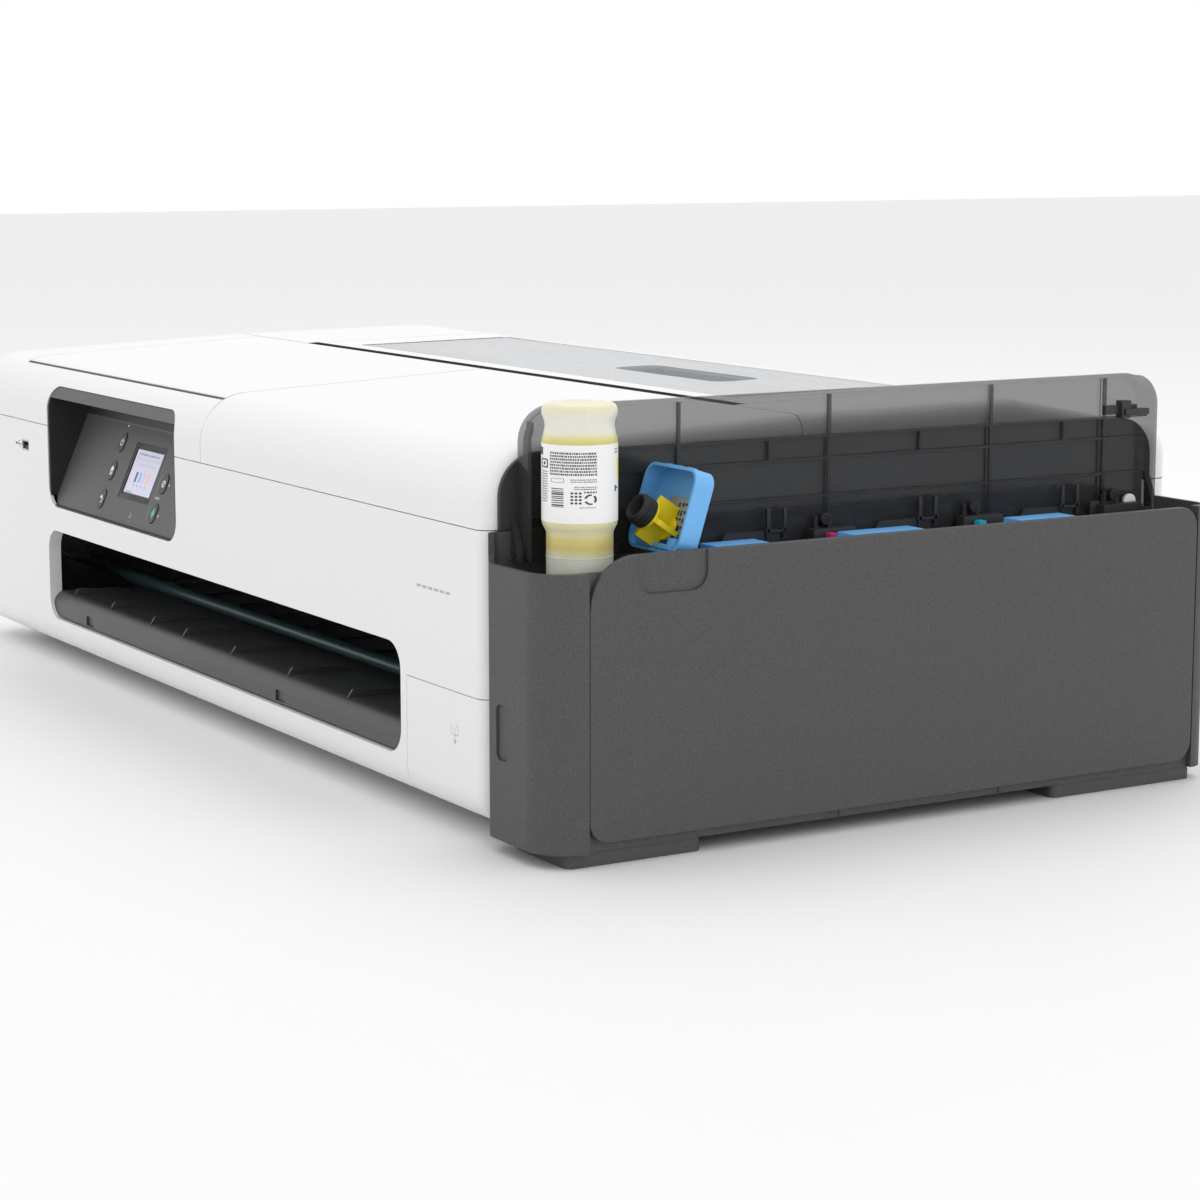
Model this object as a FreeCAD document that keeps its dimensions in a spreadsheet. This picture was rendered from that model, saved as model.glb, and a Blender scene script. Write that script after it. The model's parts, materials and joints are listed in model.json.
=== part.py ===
import FreeCAD, Part
import math
import os

import Sketcher
from FreeCAD import Placement, Rotation, Vector

# Wide inkjet printer with side ink tanks. Millimetres, +Z up, front towards -Y.
# The origin is under the middle of the footprint, on the surface the feet stand on.

SIZES = {
    # whole machine
    "machine_width": 968.0,
    "machine_depth": 525.0,
    "tank_unit_width": 75.6,
    "cover_bottom": 12.0,
    "front_top": 235.3,
    "ridge_height": 246.0,
    "rear_line_height": 248.0,
    "rear_edge_height": 222.0,
    "ridge_place": -32.0,
    "rear_line_place": 130.0,
    "seam_height": 189.0,
    "centre_seam": -4.3,
    "wall": 2.6,
    "seam_gap": 0.6,
    "unit_gap": 0.4,
    "side_piece_break": 150.0,
    # edge radii of the white casing
    "front_top_radius": 36.0,
    "bottom_radius": 20.0,
    "rear_radius": 22.0,
    "left_top_radius": 68.0,
    "left_bottom_radius": 35.0,
    "plan_radius": 25.0,
    "right_edge_radius": 11.0,
    # feet and base
    "screw_radius": 4.0,
    "foot_radius": 14.0,
    "base_floor": 3.0,
    "base_rim": 14.0,
    # output slot
    "slot_left": -312.0,
    "slot_right": 301.0,
    "slot_bottom": 36.3,
    "slot_top": 107.0,
    "slot_radius": 17.0,
    "slot_collar": 10.0,
    "guide_top": 57.0,
    "guide_lip_radius": 11.0,
    "guide_depth": 76.0,
    "guide_rib": 5.0,
    # control panel
    "panel_left": -308.0,
    "panel_right": -51.0,
    "panel_bottom": 126.0,
    "panel_top": 221.0,
    "panel_radius": 17.0,
    "panel_tilt": 23.3,
    "panel_foot": 3.2,
    "face_length": 84.0,
    "panel_back": 45.0,
    "display_left": -189.0,
    "display_width": 60.0,
    "display_low": 19.0,
    "display_high": 63.0,
    "left_keys": -216.0,
    "right_keys": -113.5,
    "key_low": 14.0,
    "key_pitch": 23.0,
    "key_width": 10.5,
    "key_height": 15.0,
    "key_clearance": 0.35,
    # usb socket
    "usb_place": -359.0,
    "usb_height": 169.0,
    "usb_width": 15.0,
    "usb_tall": 8.0,
    # maintenance door
    "door_left": 309.5,
    "door_right_margin": 1.2,
    "door_top": 88.3,
    "door_depth": 12.0,
    "door_gap": 0.5,
    # scanner
    "lid_left": -398.0,
    "lid_front": -242.0,
    "lid_thickness": 6.0,
    "lid_gap": 1.6,
    "pad_thickness": 0.8,
    "glass_thickness": 3.0,
    "glass_margin": 24.0,
    "back_seam": -37.4,
    # roll cover
    "roll_front": -27.4,
    "roll_left": -305.0,
    "roll_right": 330.0,
    "roll_back": 246.0,
    "window_left": -258.0,
    "window_right": 290.0,
    "window_front": -12.0,
    "window_back": 124.0,
    "grip_left": 46.0,
    "grip_right": 190.0,
    "grip_front": 42.0,
    "grip_back": 81.0,
    # ink tank unit
    "tub_back": 236.0,
    "tub_front_top": 171.5,
    "tub_corner": 28.0,
    "tub_back_corner": 16.0,
    "tub_wall": 3.0,
    "side_panel_front": -234.5,
    "side_panel_back": 220.0,
    "side_panel_top": 180.5,
    "side_panel_bottom": 14.0,
    "side_panel_thickness": 4.0,
    "side_panel_radius": 32.0,
    "side_panel_small_radius": 13.0,
    "dent_front": -203.0,
    "dent_back": -155.0,
    "dent_low": 157.0,
    "dent_depth": 1.8,
    "cheek_inset": 10.0,
    "grip_recess_low": 57.0,
    "grip_recess_high": 90.0,
    # tank cover, standing open
    "cover_front": -241.0,
    "cover_back": 236.0,
    "cover_low": 170.0,
    "cover_high": 261.5,
    "cover_plate": 2.4,
    "cover_standoff": 0.6,
    "cover_flange": 12.0,
    "cover_corner": 21.0,
    "cover_pivot_height": 175.0,
    # tanks and caps
    "tank_pitch": 115.5,
    "first_hinge": -170.0,
    "hinge_height": 163.0,
    "tank_top": 156.5,
    "tank_floor": 18.0,
    "tank_front_reach": 72.0,
    "tank_length": 110.0,
    "port_reach": 50.0,
    "port_radius": 11.5,
    "port_depth": 30.0,
    "ink_axis": 447.5,
    "cap_width": 56.0,
    "cap_near": 12.0,
    "cap_far": 64.0,
    "cap_rise": 7.0,
    "cap_depth": 13.0,
    "cap_wall": 1.8,
    "plug_radius": 10.0,
    "cap_open_angle": 107.7,
    "pin_radius": 1.6,
    "pin_clearance": 0.1,
    # ink bottle, standing upside down in the first port
    "bottle_radius": 22.0,
    "bottle_neck_radius": 19.5,
    "bottle_top": 266.0,
    "bottle_step": 195.0,
    "bottle_nozzle_radius": 8.0,
    # paper path
    "shaft_place": -195.0,
    "shaft_height": 64.0,
    "shaft_radius": 5.0,
    "platen_front": -180.0,
    "platen_back": -60.0,
    "platen_top": 56.0,
    "feed_place": -38.0,
    "feed_height": 50.0,
    "feed_radius": 12.0,
    "pinch_radius": 6.0,
    "paper_half": 318.0,
    "spool_place": 95.0,
    "spool_height": 128.0,
    "flange_radius": 52.0,
    "core_radius": 24.0,
    # carriage
    "rail_place": -120.0,
    "rail_height": 128.0,
    "rail_half": 8.0,
    "carriage_centre": 340.0,
    "carriage_half": 34.0,
    "belt_height": 158.0,
    "belt_place": -96.0,
    "belt_width": 6.0,
    "belt_thickness": 1.2,
    "pulley_radius": 8.0,
    "running_gap": 0.3,
}

doc = FreeCAD.newDocument("inkjet_printer")
sheet = doc.addObject("Spreadsheet::Sheet", "Sizes")
for row, (alias, value) in enumerate(SIZES.items(), start=1):
    sheet.set("A%d" % row, alias)
    sheet.set("B%d" % row, str(value))
    sheet.setAlias("B%d" % row, alias)
doc.recompute()


class Size:
    """A length with its present value and the sheet expression that gives it."""

    def __init__(self, value, text):
        self.value = value
        self.text = text

    def __add__(self, other):
        other = size(other)
        return Size(self.value + other.value, "(%s + %s)" % (self.text, other.text))

    __radd__ = __add__

    def __sub__(self, other):
        other = size(other)
        return Size(self.value - other.value, "(%s - %s)" % (self.text, other.text))

    def __rsub__(self, other):
        return size(other) - self

    def __mul__(self, other):
        other = size(other)
        return Size(self.value * other.value, "(%s * %s)" % (self.text, other.text))

    __rmul__ = __mul__

    def __truediv__(self, other):
        other = size(other)
        return Size(self.value / other.value, "(%s / %s)" % (self.text, other.text))

    def __neg__(self):
        return Size(-self.value, "(0 - %s)" % self.text)


def size(number):
    if isinstance(number, Size):
        return number
    return Size(float(number), "(%.6f)" % number)


def tangent(angle):
    return Size(math.tan(math.radians(angle.value)), "tan(%s * 1deg)" % angle.text)


def sine(angle):
    return Size(math.sin(math.radians(angle.value)), "sin(%s * 1deg)" % angle.text)


def cosine(angle):
    return Size(math.cos(math.radians(angle.value)), "cos(%s * 1deg)" % angle.text)


class Sheet:
    """Each alias of the sheet, as a Size."""

    def __getattr__(self, alias):
        return Size(float(getattr(sheet, alias)), "Sizes." + alias)


S = Sheet()
NODES = {}

LENGTHWAYS = Vector(1, 0, 0)
# plane: (axis across it, its direction, turn of a sketch lying in it)
PLANES = {
    "YZ": ("x", Vector(1, 0, 0), Rotation(Vector(1, 1, 1), 120)),
    "XZ": ("y", Vector(0, 1, 0), Rotation(LENGTHWAYS, 90)),
    "XY": ("z", Vector(0, 0, 1), Rotation()),
}


def bind(thing, prop, length):
    thing.setExpression(prop, size(length).text)


def node(name, thing):
    thing.Label = name
    NODES[name] = thing
    return thing


def box(x, y, z):
    made = doc.addObject("Part::Box", "Block")
    for prop, axis, (low, high) in zip(("Length", "Width", "Height"), "xyz", (x, y, z)):
        bind(made, prop, size(high) - low)
        bind(made, "Placement.Base." + axis, low)
    return made


ROD_TURNS = {"x": Rotation(Vector(0, 1, 0), 90), "y": Rotation(LENGTHWAYS, -90), "z": Rotation()}


def rod(axis, centre, radius, span):
    """A cylinder along an axis; centre gives its two other coordinates in order."""
    made = doc.addObject("Part::Cylinder", "Rod")
    made.Placement = Placement(Vector(), ROD_TURNS[axis])
    bind(made, "Radius", radius)
    bind(made, "Height", size(span[1]) - span[0])
    others = [a for a in "xyz" if a != axis]
    bind(made, "Placement.Base." + axis, span[0])
    for other, place in zip(others, centre):
        bind(made, "Placement.Base." + other, place)
    return made


def fuse(*pieces):
    made = doc.addObject("Part::MultiFuse", "Joined")
    made.Shapes = list(pieces)
    made.Refine = True
    return made


def common(*pieces):
    made = doc.addObject("Part::MultiCommon", "Shared")
    made.Shapes = list(pieces)
    return made


def cut(base, *tools):
    made = doc.addObject("Part::Cut", "Trimmed")
    made.Base = base
    made.Tool = tools[0] if len(tools) == 1 else fuse(*tools)
    return made


def group(*pieces):
    made = doc.addObject("Part::Compound", "Set")
    made.Links = list(pieces)
    return made


def place(thing, x, y, z, angle=0.0):
    """Turns a piece about the X axis through its own origin, then moves that origin."""
    thing.Placement = Placement(Vector(), Rotation(LENGTHWAYS, size(angle).value))
    bind(thing, "Placement.Rotation.Angle", angle)
    for axis, where in zip("xyz", (x, y, z)):
        bind(thing, "Placement.Base." + axis, where)
    return thing


def pin_point(sketch, geometry, point, u, v):
    """Fixes a point of the sketch at (u, v) from its origin."""
    for kind, length in (("DistanceX", u), ("DistanceY", v)):
        length = size(length)
        index = sketch.addConstraint(Sketcher.Constraint(kind, -1, 1, geometry, point, length.value))
        sketch.setExpression("Constraints[%d]" % index, length.text)


def draw_circle(sketch, u, v, radius):
    u, v, radius = size(u), size(v), size(radius)
    circle = Part.Circle(Vector(u.value, v.value, 0), Vector(0, 0, 1), radius.value)
    ring = sketch.addGeometry(circle, False)
    pin_point(sketch, ring, 3, u, v)
    index = sketch.addConstraint(Sketcher.Constraint("Radius", ring, radius.value))
    sketch.setExpression("Constraints[%d]" % index, radius.text)


def draw(sketch, corners):
    """Draws a closed outline through corners (u, v) or, where it is rounded, (u, v, radius)."""
    count = len(corners)
    points = [Vector(size(c[0]).value, size(c[1]).value, 0) for c in corners]
    radii = [size(c[2]).value if len(c) > 2 else 0.0 for c in corners]
    ends = []
    for i, corner in enumerate(points):
        back = (points[i - 1] - corner).normalize()
        ahead = (points[(i + 1) % count] - corner).normalize()
        half = back.getAngle(ahead) / 2
        reach = radii[i] / math.tan(half)
        ends.append((corner + back * reach, corner + ahead * reach, half, (back + ahead).normalize()))
    lines = []
    for i in range(count):
        start, end = ends[i][1], ends[(i + 1) % count][0]
        lines.append(sketch.addGeometry(Part.LineSegment(start, end), False))
    for i, corner in enumerate(corners):
        before, after = lines[i - 1], lines[i]
        if not radii[i]:
            sketch.addConstraint(Sketcher.Constraint("Coincident", before, 2, after, 1))
            pin_point(sketch, after, 1, corner[0], corner[1])
            continue
        start, end, half, inward = ends[i]
        centre = points[i] + inward * (radii[i] / math.sin(half))
        turn = (start - centre).cross(end - centre).z
        first, last = (start, end) if turn > 0 else (end, start)
        from_angle, to_angle = [math.atan2(p.y - centre.y, p.x - centre.x) for p in (first, last)]
        circle = Part.Circle(centre, Vector(0, 0, 1), radii[i])
        arc = sketch.addGeometry(Part.ArcOfCircle(circle, from_angle, to_angle), False)
        at_before, at_after = (1, 2) if turn > 0 else (2, 1)
        sketch.addConstraint(Sketcher.Constraint("Tangent", before, 2, arc, at_before))
        sketch.addConstraint(Sketcher.Constraint("Tangent", arc, at_after, after, 1))
        index = sketch.addConstraint(Sketcher.Constraint("Radius", arc, radii[i]))
        sketch.setExpression("Constraints[%d]" % index, size(corner[2]).text)
        mark = sketch.addGeometry(Part.Point(points[i]), True)
        pin_point(sketch, mark, 1, corner[0], corner[1])
        sketch.addConstraint(Sketcher.Constraint("PointOnObject", mark, 1, before))
        sketch.addConstraint(Sketcher.Constraint("PointOnObject", mark, 1, after))


def prism(plane, corners, low, high):
    """An outline drawn in a plane and carried from low to high across it."""
    axis, direction, turn = PLANES[plane]
    sketch = doc.addObject("Sketcher::SketchObject", "Outline")
    sketch.Placement = Placement(Vector(), turn)
    bind(sketch, "Placement.Base." + axis, low)
    draw(sketch, corners)
    made = doc.addObject("Part::Extrusion", "Prism")
    made.Base = sketch
    made.DirMode = "Custom"
    made.Dir = direction
    made.Solid = True
    bind(made, "LengthFwd", size(high) - low)
    return made


def body(name):
    made = doc.addObject("PartDesign::Body", name.title().replace("_", ""))
    return node(name, made)


def body_sketch(owner, plane, level, corners):
    """A sketch on one of the body's own origin planes, moved across it to the given level."""
    sketch = owner.newObject("Sketcher::SketchObject", "Sketch")
    origin_plane = [f for f in owner.Origin.OriginFeatures if f.Role == plane + "_Plane"][0]
    sketch.AttachmentSupport = [(origin_plane, "")]
    sketch.MapMode = "FlatFace"
    level = size(level)
    bind(sketch, "AttachmentOffset.Base.z", -level if plane == "XZ" else level)
    if corners[0] == "circle":
        draw_circle(sketch, *corners[1:])
    else:
        draw(sketch, corners)
    return sketch


def pad(owner, plane, corners, low, high):
    made = owner.newObject("PartDesign::Pad", "Pad")
    made.Profile = body_sketch(owner, plane, high if plane == "XZ" else low, corners)
    bind(made, "Length", size(high) - low)
    return made


def pocket(owner, plane, corners, low, high):
    made = owner.newObject("PartDesign::Pocket", "Pocket")
    made.Profile = body_sketch(owner, plane, low if plane == "XZ" else high, corners)
    bind(made, "Length", size(high) - low)
    return made


def round_edges(owner, radius, chosen):
    """Rounds those edges of the body's last feature that the test picks."""
    doc.recompute()
    last = owner.Tip
    names = ["Edge%d" % (i + 1) for i, edge in enumerate(last.Shape.Edges) if chosen(edge)]
    made = owner.newObject("PartDesign::Fillet", "Fillet")
    made.Base = (last, names)
    bind(made, "Radius", radius)
    return made


def rectangle(left, right, low, high, radius=None):
    corners = [(left, low), (right, low), (right, high), (left, high)]
    if radius is None:
        return corners
    return [corner + (radius,) for corner in corners]


# ---- places that many pieces share ----
LEFT = -S.machine_width / 2
RIGHT = S.machine_width / 2
FRONT = -S.machine_depth / 2
BACK = S.machine_depth / 2
WHITE_RIGHT = RIGHT - S.tank_unit_width - S.unit_gap
UNIT_LEFT = RIGHT - S.tank_unit_width
ABOVE = S.rear_line_height + 20
SEAM_LOW = S.seam_height - S.seam_gap / 2
SEAM_HIGH = S.seam_height + S.seam_gap / 2


# ---- outer shape of the white casing, and the same shape drawn in by an inset ----
def side_profile(inset):
    """Seen from the side: upright front, rounded top edge, gently rising top, falling rear."""
    return [
        (FRONT + inset, S.cover_bottom + inset, S.bottom_radius - inset),
        (FRONT + inset, S.front_top - inset, S.front_top_radius - inset),
        (S.ridge_place, S.ridge_height - inset),
        (S.rear_line_place, S.rear_line_height - inset),
        (BACK - inset, S.rear_edge_height - inset, S.rear_radius - inset),
        (BACK - inset, S.cover_bottom + inset, S.rear_radius - inset),
    ]


def front_outline(inset):
    top = S.rear_line_height - inset + 1
    return [
        (LEFT + inset, S.cover_bottom + inset, S.left_bottom_radius - inset),
        (WHITE_RIGHT - inset, S.cover_bottom + inset),
        (WHITE_RIGHT - inset, top),
        (LEFT + inset, top, S.left_top_radius - inset),
    ]


def plan_outline(inset):
    corners = rectangle(LEFT + inset, WHITE_RIGHT - inset, FRONT + inset, BACK - inset)
    radius = S.plan_radius - inset
    return [corners[0] + (radius,), corners[1], corners[2], corners[3] + (radius,)]


def casing(inset):
    across = prism("YZ", side_profile(inset), LEFT + inset, WHITE_RIGHT - inset)
    along = prism("XZ", front_outline(inset), FRONT, BACK)
    upright = prism("XY", plan_outline(inset), 0.0, ABOVE)
    return common(across, along, upright)


def end_edges(solid, level):
    """Numbers of the edges that lie wholly in the plane x = level."""
    found = []
    for number, edge in enumerate(solid.Shape.Edges, start=1):
        bounds = edge.BoundBox
        if abs(bounds.XMin - level) < 0.01 and abs(bounds.XMax - level) < 0.01:
            found.append(number)
    return found


def rounded_casing(inset):
    """The casing with the edges of its right end rounded."""
    sharp = casing(inset)
    doc.recompute()
    made = doc.addObject("Part::Fillet", "RoundedEnd")
    made.Base = sharp
    radius = (S.right_edge_radius - inset).value
    made.Edges = [(n, radius, radius) for n in end_edges(sharp, (WHITE_RIGHT - inset).value)]
    return made


shell = cut(rounded_casing(size(0.0)), rounded_casing(S.wall))


def shell_piece(x, y, z):
    return common(shell, box(x, y, z))


# ---- openings in the white casing ----
SLOT = (S.slot_left, S.slot_right, S.slot_bottom, S.slot_top, S.slot_radius)
PANEL = (S.panel_left, S.panel_right, S.panel_bottom, S.panel_top, S.panel_radius)
DOOR_RIGHT = WHITE_RIGHT - S.door_right_margin
DEEP = FRONT + S.panel_back + 20


def grown(outline, amount):
    left, right, low, high, radius = outline
    return rectangle(left - amount, right + amount, low - amount, high + amount, radius + amount)


def slot_collar():
    back = FRONT + S.slot_collar
    ring = cut(
        prism("XZ", grown(SLOT, S.wall), FRONT + S.wall / 2, back),
        prism("XZ", grown(SLOT, size(0.0)), FRONT, back + 1),
    )
    return ring


def usb_hole(clearance):
    half = S.usb_width / 2 + clearance
    tall = S.usb_tall / 2 + clearance
    return box(
        (S.usb_place - half, S.usb_place + half),
        (FRONT - 1, FRONT + 40),
        (S.usb_height - tall, S.usb_height + tall),
    )


def front_cover():
    front = shell_piece((LEFT, WHITE_RIGHT), (FRONT, -S.side_piece_break), (0.0, SEAM_LOW))
    collared = fuse(
        cut(front, prism("XZ", grown(SLOT, size(0.0)), FRONT - 1, DEEP)),
        slot_collar(),
    )
    door_hole = box(
        (S.door_left - S.door_gap, WHITE_RIGHT + 1),
        (FRONT - 1, FRONT + S.door_depth + S.door_gap),
        (0.0, S.door_top + S.door_gap),
    )
    panel_hole = prism("XZ", grown(PANEL, size(0.0)), FRONT - 1, DEEP)
    node("front_cover", cut(collared, panel_hole, door_hole, usb_hole(size(0.2))))


SCREW_PLACES = (LEFT + 60, size(-150.0), size(150.0), WHITE_RIGHT - 60)
SCREW_HEIGHT = size(170.0)


def side_and_rear_covers():
    left = shell_piece(
        (LEFT, LEFT + 60),
        (-S.side_piece_break + S.seam_gap, S.side_piece_break - S.seam_gap),
        (0.0, SEAM_LOW),
    )
    node("left_side_cover", left)
    rear = shell_piece((LEFT, WHITE_RIGHT), (S.side_piece_break, BACK), (0.0, SEAM_LOW))
    sockets = [
        box((low, high), (BACK - 10, BACK + 1), (30.0, 30.0 + tall))
        for low, high, tall in ((-409.8, -376.2, 24.4), (-340.2, -323.8, 13.4), (-310.2, -297.8, 12.4))
    ]
    seats = [rod("y", (x, SCREW_HEIGHT), S.screw_radius + 0.15, (BACK - 5, BACK + 1)) for x in SCREW_PLACES]
    node("rear_cover", cut(rear, *sockets, *seats))
    top = shell_piece((LEFT, WHITE_RIGHT), (S.back_seam + S.seam_gap, BACK), (SEAM_HIGH, ABOVE))
    roll_hole = box(
        (S.roll_left - S.seam_gap, S.roll_right + S.seam_gap),
        (S.back_seam, S.roll_back + S.seam_gap),
        (SEAM_HIGH - 1, ABOVE),
    )
    node("rear_top_cover", cut(top, roll_hole))


# ---- scanner on the left of the top ----
LID_RIGHT = S.centre_seam - S.seam_gap
WELL = S.lid_thickness + S.lid_gap
BED = WELL + S.wall + 1
GLASS_X = (S.lid_left + S.glass_margin, LID_RIGHT - S.glass_margin)
GLASS_Y = (S.lid_front + S.glass_margin, S.back_seam - S.glass_margin)


def slab(top_inset, low_inset, x, y):
    """A layer of the top between two insets from the outer shape, as wide as given."""
    above = prism("YZ", side_profile(top_inset), x[0], x[1])
    between = cut(above, prism("YZ", side_profile(low_inset), x[0], x[1]))
    return common(between, box(x, y, (S.seam_height, ABOVE)))


def scanner():
    half = S.seam_gap / 2
    top = shell_piece((LEFT, S.centre_seam - half), (FRONT, S.back_seam), (SEAM_HIGH, ABOVE))
    well_x = (S.lid_left - S.seam_gap, S.centre_seam - half)
    well_y = (S.lid_front - S.seam_gap, S.back_seam)
    opened = cut(top, box(well_x, well_y, (S.seam_height + 10, ABOVE)))
    bed_y = (S.lid_front - S.seam_gap - S.wall, S.back_seam)
    bed_x = (S.lid_left - S.seam_gap - S.wall, S.centre_seam - half)
    bed = slab(WELL, BED, bed_x, bed_y)
    bed_opening = box(well_x, (well_y[0], S.back_seam + 1), (S.seam_height, ABOVE))
    rim = cut(slab(size(0.5), BED, bed_x, bed_y), bed_opening)
    glass_hole = box(GLASS_X, GLASS_Y, (S.seam_height, ABOVE))
    panel_hole = prism("XZ", grown(PANEL, size(0.0)), FRONT - 1, DEEP)
    node("scanner_housing", cut(fuse(opened, cut(fuse(bed, rim), glass_hole)), panel_hole))
    fit = 0.15
    glass_x = (GLASS_X[0] + fit, GLASS_X[1] - fit)
    glass_y = (GLASS_Y[0] + fit, GLASS_Y[1] - fit)
    node("scanner_glass", slab(WELL + 0.2, WELL + 0.2 + S.glass_thickness, glass_x, glass_y))
    lid_x = (S.lid_left, LID_RIGHT)
    lid_y = (S.lid_front, S.back_seam - 0.2)
    node("scanner_lid", slab(size(0.0), S.lid_thickness, lid_x, lid_y))
    node("lid_pad", slab(S.lid_thickness, S.lid_thickness + S.pad_thickness, GLASS_X, GLASS_Y))
    head_low = S.front_top - BED - 24
    head = box((GLASS_X[0] + 2, GLASS_X[0] + 22), (GLASS_Y[0] + 3, GLASS_Y[1]), (head_low, head_low + 16))
    node("scan_head", head)


def access_cover():
    half = S.seam_gap / 2
    x = (S.centre_seam + half, WHITE_RIGHT)
    node("access_cover", shell_piece(x, (FRONT, S.back_seam), (SEAM_HIGH, ABOVE)))


# ---- roll cover at the back of the top ----
def roll_cover():
    lid = common(
        shell_piece((S.roll_left, S.roll_right), (S.roll_front, S.roll_back), (SEAM_HIGH, ABOVE)),
        box((S.roll_left, S.roll_right), (S.roll_front, S.roll_back), (S.rear_edge_height - 25, ABOVE)),
    )
    hole = prism(
        "XY",
        rectangle(S.window_left, S.window_right, S.window_front, S.window_back, size(4.0)),
        S.seam_height,
        ABOVE,
    )
    ledge = cut(
        slab(
            S.wall, S.wall * 2,
            (S.window_left - 6, S.window_right + 6), (S.window_front - 6, S.window_back + 6),
        ),
        box(
            (S.window_left + 5, S.window_right - 5),
            (S.window_front + 5, S.window_back - 5),
            (S.seam_height, ABOVE),
        ),
    )
    node("roll_cover", fuse(cut(lid, hole), ledge))
    fit = 0.1
    grip = prism(
        "XY",
        rectangle(S.grip_left, S.grip_right, S.grip_front, S.grip_back, size(12.0)),
        S.seam_height,
        ABOVE,
    )
    pane = common(
        slab(size(0.3), S.wall, (S.window_left, S.window_right), (S.window_front, S.window_back)),
        prism(
            "XY",
            rectangle(
                S.window_left + fit,
                S.window_right - fit,
                S.window_front + fit,
                S.window_back - fit,
                size(3.9),
            ),
            S.seam_height,
            ABOVE,
        ),
    )
    cup = prism(
        "XY",
        rectangle(S.grip_left, S.grip_right, S.grip_front, S.grip_back, size(12.0)),
        S.ridge_height - 22,
        S.ridge_height - 0.6,
    )
    hollow = prism(
        "XY",
        rectangle(S.grip_left + 2, S.grip_right - 2, S.grip_front + 2, S.grip_back - 2, size(10.0)),
        S.ridge_height - 20,
        ABOVE,
    )
    node("roll_cover_window", fuse(cut(pane, grip), cut(cup, hollow)))


# ---- base tray and feet ----
def base():
    owner = body("base_tray")
    x = (LEFT + S.left_bottom_radius - 4, WHITE_RIGHT - S.right_edge_radius - 1)
    y = (FRONT + S.slot_collar + 16, BACK - S.rear_radius + 2)
    low = S.cover_bottom + S.wall + 0.4
    pad(owner, "XY", rectangle(x[0], x[1], y[0], y[1]), low, low + S.base_rim)
    rim = 2.5
    inner = rectangle(x[0] + rim, x[1] - rim, y[0] + rim, y[1] - rim)
    pocket(owner, "XY", inner, low + S.base_floor, low + S.base_rim)
    feet = []
    for x_foot in (LEFT + 70, size(0.0), WHITE_RIGHT - 60):
        for y_foot in (FRONT + 55, BACK - 45):
            feet.append(rod("z", (x_foot, y_foot), S.foot_radius, (0.0, S.cover_bottom)))
    node("rubber_feet", group(*feet))


# ---- output guide under the slot ----
RIB_PLACES = (-282.0, -205.0, -125.0, -64.0, 22.0, 116.0, 208.0)


def output_guide():
    fit = 0.8
    lip = FRONT + 2.5
    back = FRONT + S.guide_depth
    low = S.slot_bottom + fit
    thick = S.wall
    top = S.guide_top
    outline = [
        (lip, low, 2.0),
        (lip, top, S.guide_lip_radius),
        (back, top - 2),
        (back, top - 2 - thick),
        (lip + thick + S.guide_lip_radius, top - thick - 0.4),
        (lip + thick + 3, top - thick - S.guide_lip_radius / 2),
        (lip + thick + 3, low),
    ]
    rib_back = back - 20
    rib = [(lip + 3.0, top - 6), (rib_back, top - 4), (rib_back, top + 1), (lip + 10, top + S.guide_rib, 2.0)]
    pieces = [prism("YZ", outline, S.slot_left, S.slot_right)]
    for place_x in RIB_PLACES:
        pieces.append(prism("YZ", rib, size(place_x) - 0.9, size(place_x) + 0.9))
    catches = [
        prism("XZ", rectangle(size(x), size(x) + 14, low + 2.2, low + 9.5), lip, lip + 1.6)
        for x in (-240.0, 110.0)
    ]
    opening = prism("XZ", grown(SLOT, -size(fit)), FRONT, back + 1)
    node("output_guide", common(cut(fuse(*pieces), *catches), opening))


# ---- control panel ----
PANEL_Y = FRONT + S.panel_foot
PANEL_Z = S.panel_bottom + 1.5
SLOPE = tangent(S.panel_tilt)


def on_face(thing):
    """Moves a piece drawn about the foot of the tilted face onto that face."""
    return place(thing, 0.0, PANEL_Y, PANEL_Z, -S.panel_tilt)


def key_outline(centre_x, centre_z, growth):
    half = S.key_width / 2 + growth
    tall = S.key_height / 2 + growth
    return rectangle(centre_x - half, centre_x + half, centre_z - tall, centre_z + tall, half * 0.9)


KEYS = {
    "power_button": (S.left_keys, S.key_low + S.key_pitch * 2),
    "home_button": (S.left_keys, S.key_low + S.key_pitch),
    "back_button": (S.left_keys, S.key_low),
    "stop_button": (S.right_keys, S.key_low + S.key_pitch),
    "start_button": (S.right_keys, S.key_low),
}
DISPLAY = (S.display_left, S.display_left + S.display_width, S.display_low, S.display_high)


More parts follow.
